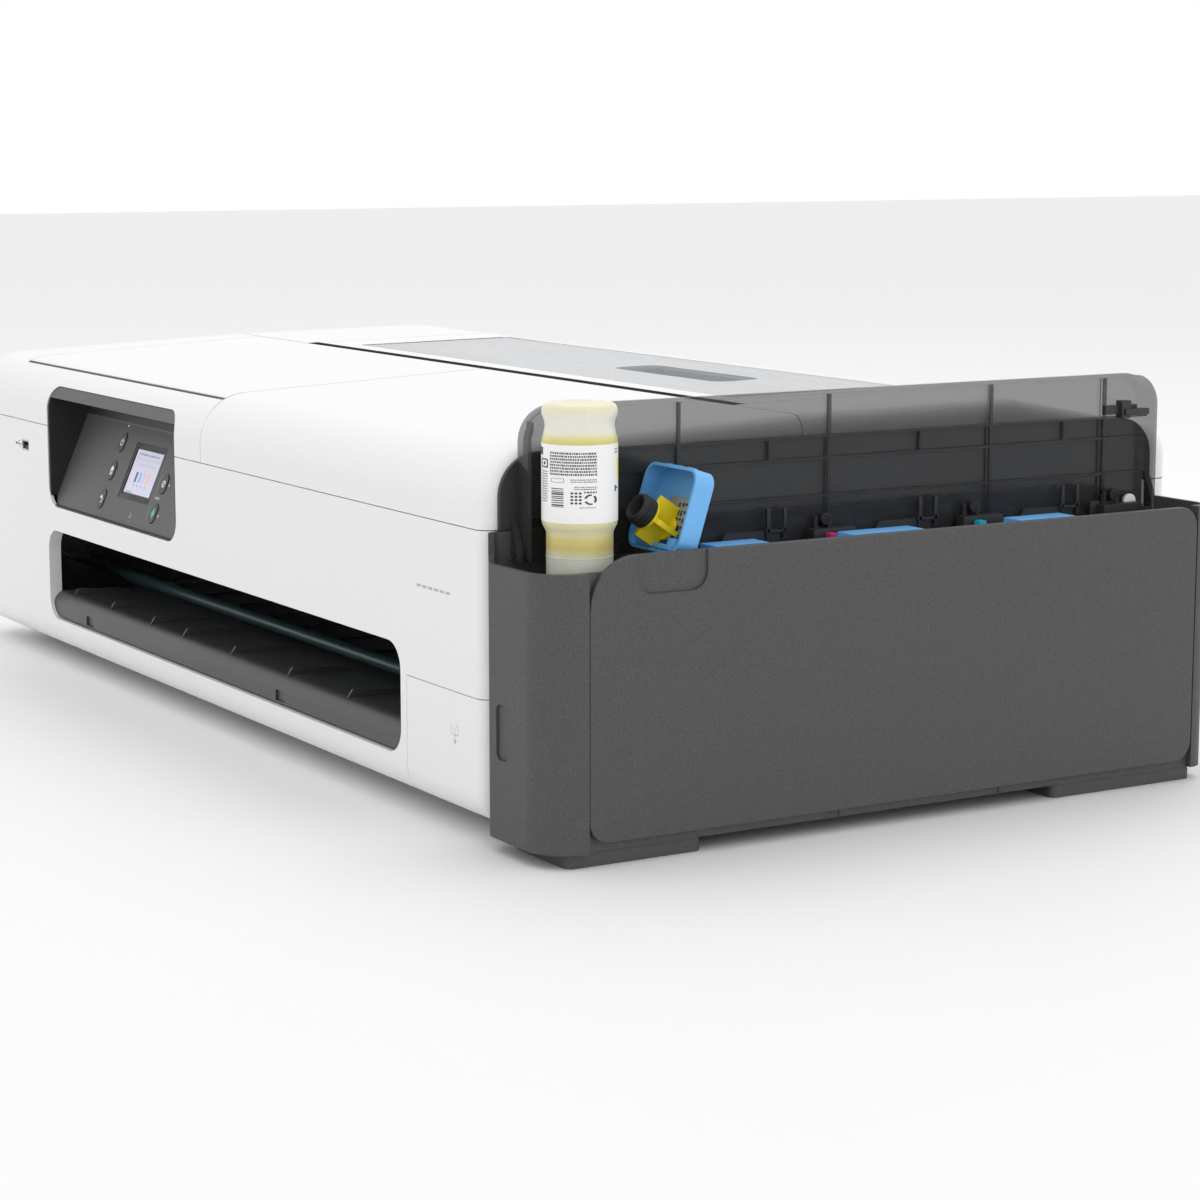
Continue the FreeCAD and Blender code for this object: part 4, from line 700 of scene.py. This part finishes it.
for side, x, pulley in (("Left", -0.426, "idler_pulley"), ("Right", 0.375, "drive_pulley")):
    values = {**pulleyRing, "Centre": (x, -0.093, 0.158)}
    grown("pulleyTeeth" + side, blockRing, values, pulley, "inner_plastic", coreGrey)
print("repeats grown")


# ---- smoked cover: ribs, tabs, clip ----
coverDetail = {
    "face": 414.9, "ribDepth": 1.5, "ends": (-239.0, 234.0), "levels": (233.1, 219.4, 196.1),
    "uprights": (-132.8, -22.6, 103.8, 197.7), "uprightSpan": (172.0, 259.0), "uprightWidth": 2.4,
    "tabs": (-66.0, 48.6, 165.0), "tabSpan": (219.6, 232.6), "tabWidth": 4.2,
    # corners and bevel
    "clip": (((415.0, 196.5, 235.0), (418.5, 223.5, 241.0), 0.6),
             ((415.0, 208.0, 232.5), (421.5, 216.0, 244.0), 0.8),
             ((418.0, 210.0, 234.5), (423.2, 230.0, 238.5), 0.8)),
}


def coverPieces():
    d = coverDetail
    face, proud = d["face"], d["face"] + d["ribDepth"]
    bm = bmesh.new()
    for level in d["levels"]:
        addBox(bm, (face, d["ends"][0], level - 0.75), (proud, d["ends"][1], level + 0.75), 0.2)
    for kind, extra, bevel in (("upright", 0.1, 0.2), ("tab", 0.3, 0.3)):
        (low, high), half = d[kind + "Span"], d[kind + "Width"] / 2
        for place in d[kind + "s"]:
            addBox(bm, (face, place - half, low), (proud + extra, place + half, high), bevel)
    pieceFrom(bm, "coverRibs", "tank_cover", "smoked_window", smokedRib)
    bm = bmesh.new()
    for low, high, bevel in d["clip"]:
        addBox(bm, low, high, bevel)
    pieceFrom(bm, "coverClip", "tank_cover", "tank_plastic", tankInside)


coverPieces()

# ---- hinge brackets and holders along the tanks ----
hingeRow = {
    "pitch": 115.5, "first": -64.2, "count": 3, "x": (417.9, 420.2),
    # front, back and top of each block of the damper's mount
    "mount": ((207.0, 230.0, 174.5), (194.5, 206.0, 183.0), (185.0, 193.0, 179.0)),
}


def hingePieces():
    d = hingeRow
    x = d["x"]
    bm = bmesh.new()
    for index in range(d["count"]):
        y = d["first"] + d["pitch"] * index

        def block(y0, y1, z0, z1, bevel=0.4, depth=0.0):
            addBox(bm, (x[0], y + y0, z0), (x[1] + depth, y + y1, z1), bevel)

        for offset in (-5.6, 6.6):
            block(offset - 1.3, offset + 1.3, 172.0, 191.0)
            block(offset - 2.0, offset + 2.0, 176.0, 179.0)
        block(-4.0, 6.0, 176.0, 177.6)
        block(24.0, 56.0, 156.6, 176.8, 0.6, 6.0)
        block(56.5, 70.0, 156.6, 173.0, 0.5, 3.0)
        block(28.5, 31.5, 172.0, 184.0)
        block(38.5, 41.5, 172.0, 184.0)
    pieceFrom(bm, "hingeBrackets", "root", "tank_wall", tankInside)
    bm = bmesh.new()
    for index in range(d["count"]):
        centreY = (d["first"] + d["pitch"] * index + 35.0) * mm
        turn = Matrix.Translation((0.4180, centreY, 0.1822)) @ Matrix.Rotation(math.radians(90), 4, "Y")
        addLathe(bm, [(0.0, 0.0), (0.0034, 0.0), (0.0038, 0.0004), (0.0038, 0.0052), (0.0034, 0.0056),
                      (0.0, 0.0056)],
                 (0.0, 0.0), 24, turn)
    pieceFrom(bm, "hingeBarrels", "root", "tank_wall", blackGloss)
    bm = bmesh.new()
    turn = Matrix.Translation((0.4166, 0.2188, 0.1768)) @ Matrix.Rotation(math.radians(90), 4, "Y")
    addLathe(bm, [(0.0, 0.0), (0.0046, 0.0), (0.0050, 0.0006), (0.0050, 0.0026), (0.0030, 0.0030),
                  (0.0, 0.0028)], (0, 0), 28, turn)
    pieceFrom(bm, "coverDamper", "root", "white_casing", white)
    bm = bmesh.new()
    for front, back, top in d["mount"]:
        addBox(bm, (417.8, front, 157.0), (419.2, back, top), 0.4)
    pieceFrom(bm, "damperMount", "root", "tank_wall", tankInside)


hingePieces()
colourMarks = (("markYellow", inkYellow, -170.0), ("markMagenta", inkMagenta, -54.5),
               ("markCyan", inkCyan, 61.0))
for name, material, hinge in colourMarks:
    bm = bmesh.new()
    addBox(bm, (427.0, hinge + 22.0, 157.2), (433.0, hinge + 27.5, 174.5), 0.6)
    pieceFrom(bm, name, "root", "tank_wall", material)


# ---- the open cap's stem, its rubber end, tag and straps ----
openCap = {"hinge": (447.5, -170.0, 163.0), "angle": 107.7, "lean": 16.0, "reach": 27.0, "ceiling": 2.4,
           "stem": 18.0, "sleeve": 9.5,
           "straps": (-21.0, 12.0), "latches": (-14.0, -4.0, 8.0)}


def capSpace(extraLean=0.0, reach=0.0, ceiling=0.0):
    d = openCap
    hinge = Matrix.Translation(Vector(d["hinge"]) * mm)
    opened = Matrix.Rotation(math.radians(-d["angle"]), 4, "X")
    offset = Matrix.Translation((0, -reach * mm, ceiling * mm))
    return hinge @ opened @ offset @ Matrix.Rotation(math.radians(-extraLean), 4, "X")


def capPieces():
    d = openCap
    place = capSpace(d["lean"], d["reach"], d["ceiling"])
    bm = bmesh.new()
    stem, sleeve = d["stem"], d["sleeve"]
    cross = place @ Matrix.Rotation(math.radians(12), 4, "Z")
    for wide, deep in ((13.8, 1.6), (1.6, 13.8)):
        addBox(bm, (-wide, -deep, 1.2 - stem), (wide, deep, -1.0), 0.3, cross)
    for low, radius in ((-1.8, 7.6), (-stem, 9.4)):
        rim = [(0.0, low), (radius - 0.4, low), (radius, low + 0.4), (radius, low + 1.4),
               (radius - 0.4, low + 1.8),
               (0.0, low + 1.8)]
        addLathe(bm, [(r * mm, z * mm) for r, z in rim], (0, 0), 40, place)
    piece = pieceFrom(bm, "plugStem", "yellow_cap", "yellow_ink_part", inkYellow)
    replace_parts(piece, "yellow_plug")
    bm = bmesh.new()
    ridges = []
    for step in range(4):
        top = 0.3 - stem - step * sleeve / 4.6
        ridges += [(8.8, top), (9.5, top - 0.4), (9.5, top - 1.4), (8.8, top - 1.8)]
    end = -stem - sleeve
    profile = [(6.2, 0.3 - stem)] + ridges + [(8.6, end + 0.5), (7.6, end), (6.6, end + 0.3),
                                              (6.1, end + 1.4)]
    profile = [(radius * mm, height * mm) for radius, height in reversed(profile)]
    addLathe(bm, profile + [profile[0]], (0, 0), 48, place)
    bmesh.ops.remove_doubles(bm, verts=bm.verts, dist=1e-6)
    pieceFrom(bm, "plugSleeve", "yellow_cap", "rubber", rubber)
    flat = capSpace()
    bm = bmesh.new()
    addBox(bm, (-8.0, -47.0, 3.4), (21.0, -24.0, 5.1), 0.3, flat)
    pieceFrom(bm, "capTag", "yellow_cap", "key_plastic", tagGrey)
    bm = bmesh.new()
    draw = random.Random(7)
    for row in range(4):
        for column in range(5):
            if draw.random() < 0.75:
                x, y = 3.0 + column * 3.4, -44.0 + row * 4.6
                wide, deep = draw.uniform(1.2, 2.8), draw.uniform(1.4, 3.4)
                addBox(bm, (x, y, 3.2), (x + wide, y + deep, 3.5), 0.0, flat)
    pieceFrom(bm, "capTagMarks", "yellow_cap", "key_plastic", labelInk)
    bm = bmesh.new()
    for offset in d["straps"]:
        addBox(bm, (offset, -22.0, -4.0), (offset + 9.0, -13.5, 0.0), 0.5, flat)
    addBox(bm, (-20.0, -17.6, -5.4), (20.0, -14.4, -3.6), 0.5, flat)
    pieceFrom(bm, "capStraps", "yellow_cap", "cap_blue", capBlue)
    bm = bmesh.new()
    for offset in d["latches"]:
        addBox(bm, (offset, -64.9, -1.5), (offset + 4.5, -63.9, 3.0), 0.3, flat)
    pieceFrom(bm, "capLatches", "yellow_cap", "cap_blue", capBlue)


capPieces()
crownWidth = {"magenta": (-137.0, -90.5), "cyan": (-37.0, 25.0), "black": (92.0, 145.0)}
for colour, (front, back) in crownWidth.items():
    bm = bmesh.new()
    addBox(bm, (434.0, front, 169.9), (462.0, back, 172.8), 1.2)
    addBox(bm, (440.0, front + 4, 172.4), (458.0, back - 4, 177.0), 1.4)
    pieceFrom(bm, colour + "CapCrown", colour + "_cap", "cap_blue", capBlue)
print("tank unit detailed")


# ---- ink bottle: translucent wall, paper label with generic marks ----
bottle = {
    "axis": (0.4475, -0.22), "label": (198.0, 243.0), "labelRadius": 22.15,
    "profile": (
        (0.0, 142.9), (6.2, 142.9), (7.0, 143.6), (8.0, 156.9), (18.4, 156.9), (19.3, 157.8),
        (19.5, 163.0), (19.5, 190.2), (19.7, 191.6), (20.8, 193.8), (21.7, 195.6), (22.0, 197.6),
        (22.0, 243.6), (21.8, 245.2), (20.9, 248.2), (20.3, 251.0), (20.2, 253.4), (20.7, 256.0),
        (21.6, 258.2), (22.0, 260.0), (21.8, 262.4), (20.9, 264.4), (19.0, 265.6), (16.0, 266.0),
        (10.0, 266.0), (9.0, 265.5), (0.0, 265.5),
    ),
    "stops": (
        (157.0, (0.66, 0.66, 0.58)), (176.5, (0.72, 0.72, 0.62)), (178.0, (0.7, 0.68, 0.46)),
        (183.0, (0.62, 0.52, 0.16)), (188.5, (0.66, 0.58, 0.2)), (192.5, (0.74, 0.71, 0.5)),
        (197.0, (0.7, 0.66, 0.36)), (243.0, (0.62, 0.54, 0.14)), (246.5, (0.7, 0.65, 0.28)),
        (249.5, (0.76, 0.75, 0.66)), (257.5, (0.78, 0.78, 0.7)), (262.0, (0.74, 0.72, 0.52)),
    ),
}
wallLook = {"Subsurface Weight": 0.25, "Subsurface Scale": 0.004, "Coat Weight": 0.15}
bottleWall = layered("bottleWall", bottle["stops"], 0.157, 0.266, 0.30, **wallLook)


def onLabel(angle, height, lift):
    # angle in degrees about the bottle's axis, measured from the side that faces -Y towards +X
    radius = (bottle["labelRadius"] + lift) * mm
    a = math.radians(angle - 90)
    return Vector((bottle["axis"][0] + radius * math.cos(a), bottle["axis"][1] + radius * math.sin(a),
                   height * mm))


def labelPatch(bm, start, end, low, high, lift, thick=0.08):
    # a thin patch that follows the label's curve
    steps = max(1, int(abs(end - start) / 4))
    outer, inner = [], []
    for step in range(steps + 1):
        angle = start + (end - start) * step / steps
        outer.append([bm.verts.new(onLabel(angle, height, lift + thick)) for height in (low, high)])
        inner.append([bm.verts.new(onLabel(angle, height, lift)) for height in (low, high)])
    for step in range(steps):
        a, b, c, d = outer[step], outer[step + 1], inner[step], inner[step + 1]
        bm.faces.new((a[0], b[0], b[1], a[1]))
        bm.faces.new((c[1], d[1], d[0], c[0]))
        bm.faces.new((a[1], b[1], d[1], c[1]))
        bm.faces.new((c[0], d[0], b[0], a[0]))
    bm.faces.new((outer[0][0], outer[0][1], inner[0][1], inner[0][0]))
    bm.faces.new((inner[-1][0], inner[-1][1], outer[-1][1], outer[-1][0]))


def bottlePieces():
    d = bottle
    bm = bmesh.new()
    addLathe(bm, [(radius * mm, height * mm) for radius, height in d["profile"]], d["axis"], 64)
    piece = pieceFrom(bm, "bottleBody", "ink_bottle", "bottle_plastic", bottleWall, angle=60)
    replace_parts(piece, "ink_bottle")
    low, high = d["label"]
    bm = bmesh.new()
    labelPatch(bm, -150, 160, low, high, -0.12, 0.12)
    pieceFrom(bm, "bottleLabel", "ink_bottle", "bottle_plastic", labelPaper, angle=60)
    draw = random.Random(21)
    bm = bmesh.new()
    # blocks of small print: first and last angle, top height, rows, spacing, row height, longest mark
    blocks = ((10, 86, 238.8, 8, 1.72, 1.1, 3.2), (-13, 4, 227.4, 13, 1.42, 0.6, 3.0),
              (46, 86, 223.6, 2, 1.2, 0.6, 2.8),
              (52, 86, 219.4, 2, 1.2, 0.6, 2.8), (66, 86, 216.6, 1, 1.0, 0.9, 4.0), (60, 84, 207.6, 1, 1.0,
                                                                                     0.5, 2.6),
              (124, 137, 240.0, 2, 1.8, 0.7, 3.0))
    for first, last, top, rows, spacing, tall, longest in blocks:
        for row in range(rows):
            angle, high = first, top - row * spacing
            while angle < last:
                width = draw.uniform(longest * 0.45, longest)
                labelPatch(bm, angle, min(angle + width, last), high - tall, high, 0.0, 0.03)
                angle += width + draw.uniform(0.8, 1.5)
    for column in range(3):
        for row in range(4):
            labelPatch(bm, 46 + column * 6.2, 50 + column * 6.2, 209.4 + row * 1.9, 210.5 + row * 1.9, 0.0,
                       0.03)
    height = 207.4
    while height < 218.6:
        bar = draw.choice((0.35, 0.55, 0.9))
        labelPatch(bm, 13, 35, height, height + bar, 0.0, 0.03)
        height += bar + draw.choice((0.3, 0.45, 0.7))
    pieceFrom(bm, "bottlePrint", "ink_bottle", "bottle_plastic", labelInk, smooth=False)
    bm = bmesh.new()
    for start, end, z0, z1 in ((-15, 4, 229.2, 230.0), (-15, 4, 233.6, 234.4), (-16, -13, 229.6, 234.0),
                               (2, 5, 229.6, 234.0),
                               (-26, -11, 236.3, 240.6), (-8, -2, 230.9, 232.7), (13.5, 35.5, 221.5,
                                                                                  221.7), (13.5, 35.5, 223.7,
                                                                                           223.9),
                               (13, 13.8, 221.7, 223.7), (35.2, 36, 221.7, 223.7), (124, 129, 215.4,
                                                                                    219.0), (128, 136, 217.0,
                                                                                             217.8)):
        labelPatch(bm, start, end, z0, z1, 0.0, 0.04)
    for turn in (90, 210, 330):
        # three short arcs chase each other round a triangle
        for share in range(5):
            a = math.radians(turn + share * 17)
            u, v = 76.0 + 8.0 * math.cos(a), 212.0 + 2.6 * math.sin(a)
            labelPatch(bm, u - 1.8, u + 1.8, v - 0.42, v + 0.42, 0.0, 0.04)
    pieceFrom(bm, "bottleMarks", "ink_bottle", "bottle_plastic", labelInk, smooth=False)
    bm = bmesh.new()
    labelPatch(bm, 134, 150, 222.5, 234.5, 0.0, 0.05)
    pieceFrom(bm, "bottleBand", "ink_bottle", "bottle_plastic", labelYellow)
    bm = bmesh.new()
    for height in (177.3, 163.2):
        ring = [(19.52, height - 0.35), (19.75, height - 0.2), (19.75, height + 0.2), (19.52, height + 0.35),
                (19.3, height)]
        addLathe(bm, [(r * mm, z * mm) for r, z in ring + ring[:1]], d["axis"], 64)
        bmesh.ops.remove_doubles(bm, verts=bm.verts, dist=1e-6)
    pieceFrom(bm, "bottleRings", "ink_bottle", "bottle_plastic", bottleWall, angle=60)


bottlePieces()
print("bottle made")


# ---- control panel: screen picture, key signs, lamp ----
panel = {"foot": (-259.3, 127.5), "tilt": 23.3, "left": -216.0, "right": -113.5, "low": 14.0, "pitch": 23.0,
         "onKey": 0.74, "warning": (-153.0, 8.0)}


def onPanel(u, v, lift):
    # u along X, v up the tilted face, lift out of it, all in millimetres
    a = math.radians(panel["tilt"])
    y = panel["foot"][0] + v * math.sin(a) - lift * math.cos(a)
    z = panel["foot"][1] + v * math.cos(a) + lift * math.sin(a)
    return Vector((u, y, z)) * mm


def sign(name, outlines, body, slotName, lift, material, thick=0.06, toSpace=onPanel):
    bm = bmesh.new()
    for outline in outlines:
        addPlate(bm, outline, lift, lift + thick, toSpace)
    return pieceFrom(bm, name, body, slotName, material, smooth=False)


def arcPoints(radius, start, end, centre, steps=14):
    points = []
    for step in range(steps + 1):
        a = math.radians(start + (end - start) * step / steps)
        points.append((centre[0] + radius * math.cos(a), centre[1] + radius * math.sin(a)))
    return points


def near(point, *offsets):
    return [(point[0] + u, point[1] + v) for u, v in offsets]


def oblong(x0, x1, v0, v1, point=(0.0, 0.0)):
    return near(point, (x0, v0), (x1, v0), (x1, v1), (x0, v1))


def panelPieces():
    left, right, low, pitch = panel["left"], panel["right"], panel["low"], panel["pitch"]
    power, home, back = (left, low + 2 * pitch), (left, low + pitch), (left, low)
    stop, start = (right, low + pitch), (right, low)
    keySigns = {
        "power": [stroke(arcPoints(2.5, 125, 415, power), 0.7), oblong(-0.35, 0.35, 0, 3.6, power)],
        "home": [near(home, (-3.3, 0.6), (0, 4.0), (3.3, 0.6))] + [
            oblong(-2.4, 2.4, v0, v1, home) for v0, v1 in ((-0.6, 0.1), (-2.0, -1.3), (-3.4, -2.7))],
        "back": [near(back, (-3.0, 1.4), (-0.4, 3.4), (-0.4, -0.6)),
                 stroke(arcPoints(2.2, 100, -80, (back[0] - 0.2, back[1] - 0.8)), 0.8)],
        "stop": [stroke(arcPoints(2.4, 0, 350, stop, 20), 0.7),
                 stroke(near(stop, (-1.7, -1.7), (1.7, 1.7)), 0.7)],
        "start": [near(start, (-2.7, 0), (0, -4.2), (2.7, 0), (0, 4.2))],
    }
    for key, outlines in keySigns.items():
        finish = lampGreen if key == "start" else glyphWhite
        sign(key + "Sign", outlines, key + "_button", "key_plastic", panel["onKey"], finish)
    lamp = ringOutline(0.8, 16, (left, low + 2 * pitch + 13.5))
    sign("powerLamp", [lamp], "root", "grey_panel", 0.02, glyphWhite, 0.3)
    lines = [stroke(near(stop, (-8, 6), (-10, 6), (-10, -5)), 0.35),
             stroke(near(start, (-8, -6), (-10, -6), (-10, 5)), 0.35)]
    lines += [oblong(u0, u1, 10.6, 12.6, start) for u0,
              u1 in ((-8.0, -6.2), (-5.6, -4.2), (-3.6, -1.8), (-1.2, 0.4))]
    lines += [ringOutline(1.3, 14, (right + 9.0, v)) for v in (low - 1.0, low + pitch)]
    sign("keyGuides", lines, "root", "grey_panel", 0.02, glyphGrey, 0.05)
    corner = panel["warning"]
    warning = [stroke(near(corner, (-2.2, -2.0), (0, 2.4), (2.2, -2.0), (-2.2, -2.0)), 0.5),
               oblong(-0.3, 0.3, -1.0, 1.0, corner), stroke(near(corner, (-1.4, -5.6), (0.6, -4.2)), 0.35)]
    sign("inkWarning", warning, "root", "grey_panel", 0.02, glyphGrey, 0.05)
    screen = {"x": (-183.4, -134.0), "v": (24.0, 58.2), "lift": -0.62}
    x0, x1 = screen["x"]
    sign("screenPane", [oblong(x0, x1, *screen["v"])], "root", "display", -0.68, screenLit, 0.04)
    draw = random.Random(5)
    rows = [oblong(x0 + 5 + k * 2.6, x0 + 5 + k * 2.6 + draw.uniform(1.1, 2.2), 54.2,
                   55.6) for k in range(15)]
    rows += [oblong(x0 + 8 + k * 4.6, x0 + 10 + k * 4.6, 46.6, 47.1) for k in range(8)]
    rows += [oblong(x0 + 4 + k * 2.4, x0 + 5.6 + k * 2.4, 24.4, 25.6) for k in range(5)]
    rows += [oblong(x0 + 12.4 + k * 7.4, x0 + 14.4 + k * 7.4, 30.2, 31.2) for k in range(4)]
    sign("screenRows", rows, "root", "display", screen["lift"], screenText, 0.02)
    sign("screenRule", [oblong(x0 + 3, x1 - 3, 51.4, 51.6)], "root", "display", screen["lift"], glyphGrey,
         0.02)
    bars = (("Black", screenInk), ("Blue", screenCyan), ("Pink", screenPink), ("Amber", screenAmber))
    for index, (label, material) in enumerate(bars):
        x = x0 + 12.0 + index * 7.4
        sign("screenBar" + label, [oblong(x, x + 2.9, 33.0, 41.0)], "root", "display", screen["lift"],
             material, 0.03)


panelPieces()


# ---- signs on the front ----
def onFront(u, v, lift):
    return Vector((u * mm, (-262.35 - lift) * mm, v * mm))


def frontSign(name, outlines, body, slotName, material):
    return sign(name, outlines, body, slotName, 0.01, material, 0.05, onFront)


usb, doorMark = (-373.5, 169.0), (372.0, 64.0)
frontSign("portSign", [
    stroke(near(usb, (-6, 0), (5, 0)), 0.6), ringOutline(1.2, 14, (usb[0] - 6.4, usb[1])),
    near(usb, (5, -1.2), (7.2, 0), (5, 1.2)), stroke(near(usb, (-3, 0), (0, 2.4), (2, 2.4)), 0.5),
    stroke(near(usb, (-1, 0), (2, -2.4), (3.6, -2.4)), 0.5),
], "root", "black_trim", labelInk)
frontSign("doorSign", [
    stroke(near(doorMark, (-4, 4), (-4, -2), (4, -2), (4, 4), (1.5, 4)), 0.55),
    stroke(near(doorMark, (0, 2.5), (0, -5.5)), 0.5), near(doorMark, (-1.8, -5), (0, -8), (1.8, -5)),
], "maintenance_door", "white_casing", printGrey)
frontSign("modelDashes", [oblong(324 + k * 7.5, 329.5 + k * 7.5, 146.0, 147.6) for k in range(6)], "root",
          "white_casing", printGrey)
print("signs placed")

# ---- socket lining: white surround and dark mouth ----
socketFrame = {"x": (-367.4, -350.6), "z": (164.2, 173.8)}
bm = bmesh.new()
x, z = socketFrame["x"], socketFrame["z"]
for low, high in (((x[0] - 1.4, z[0] - 1.2), (x[1] + 1.4, z[0])),
                  ((x[0] - 1.4, z[1]), (x[1] + 1.4, z[1] + 1.2)),
                  ((x[0] - 1.4, z[0]), (x[0], z[1])), ((x[1], z[0]), (x[1] + 1.4, z[1]))):
    addBox(bm, (low[0], -262.49, low[1]), (high[0], -262.1, high[1]), 0.08)
pieceFrom(bm, "socketSurround", "root", "white_casing", white)
bm = bmesh.new()
addBox(bm, (-365.2, -260.9, 166.4), (-352.8, -247.8, 168.4), 0.1)
pieceFrom(bm, "socketTongue", "root", "black_trim", blackGloss)

# ---- seam marks under the side panel ----
bm = bmesh.new()
for y in (-60.0, 62.0):
    addBox(bm, (483.2, y - 0.5, 10.2), (483.96, y + 0.5, 14.2), 0.1)
pieceFrom(bm, "panelFootMarks", "root", "tank_plastic", tankInside)


# ---- floor, light and camera ----
def stageSet():
    bm = bmesh.new()
    bmesh.ops.create_grid(bm, x_segments=1, y_segments=1, size=12.0)
    floor = inScene("floor", meshFrom(bm, "floor", outward=False))
    floor.data.materials.append(moulded("paleFloor", (0.84, 0.84, 0.84), (0.86, 0.86, 0.86), 60, 0.2, 0.01,
                                        0.7, 0.02, 0.05))
    world = bpy.data.worlds.new("studio")
    bpy.context.scene.world = world
    world.use_nodes = True
    world.node_tree.nodes["Background"].inputs["Color"].default_value = (1, 1, 1, 1)
    world.node_tree.nodes["Background"].inputs["Strength"].default_value = 1.0
    lamps = (
        ("keyLamp", (0.4, -1.8, 2.6), (0.1, -0.1, 0.1), 2.4, 3.0),
        ("sideLamp", (2.6, 0.6, 1.6), (0.3, 0.0, 0.15), 2.2, 5.0),
        ("topLamp", (-0.6, 0.6, 2.8), (0.0, 0.0, 0.2), 2.6, 17.0),
    )
    for name, place, aim, size, power in lamps:
        lamp = bpy.data.lights.new(name, "AREA")
        lamp.shape, lamp.size, lamp.energy = "SQUARE", size, power
        holder = inScene(name, lamp)
        holder.location = place
        holder.rotation_mode = "QUATERNION"
        holder.rotation_quaternion = (Vector(aim) - Vector(place)).to_track_quat("-Z", "Y")
    camera = bpy.data.cameras.new("camera")
    camera.lens, camera.sensor_width = 88.13, 36.0
    eye = inScene("camera", camera)
    eye.location = (1.8954, -1.0713, 0.4214)
    eye.rotation_mode = "QUATERNION"
    eye.rotation_quaternion = Vector((-0.84756, 0.50631, -0.15905)).to_track_quat("-Z", "Y")
    bpy.context.scene.camera = eye
    bpy.context.scene.view_settings.view_transform = "Standard"


stageSet()
print("stage set")
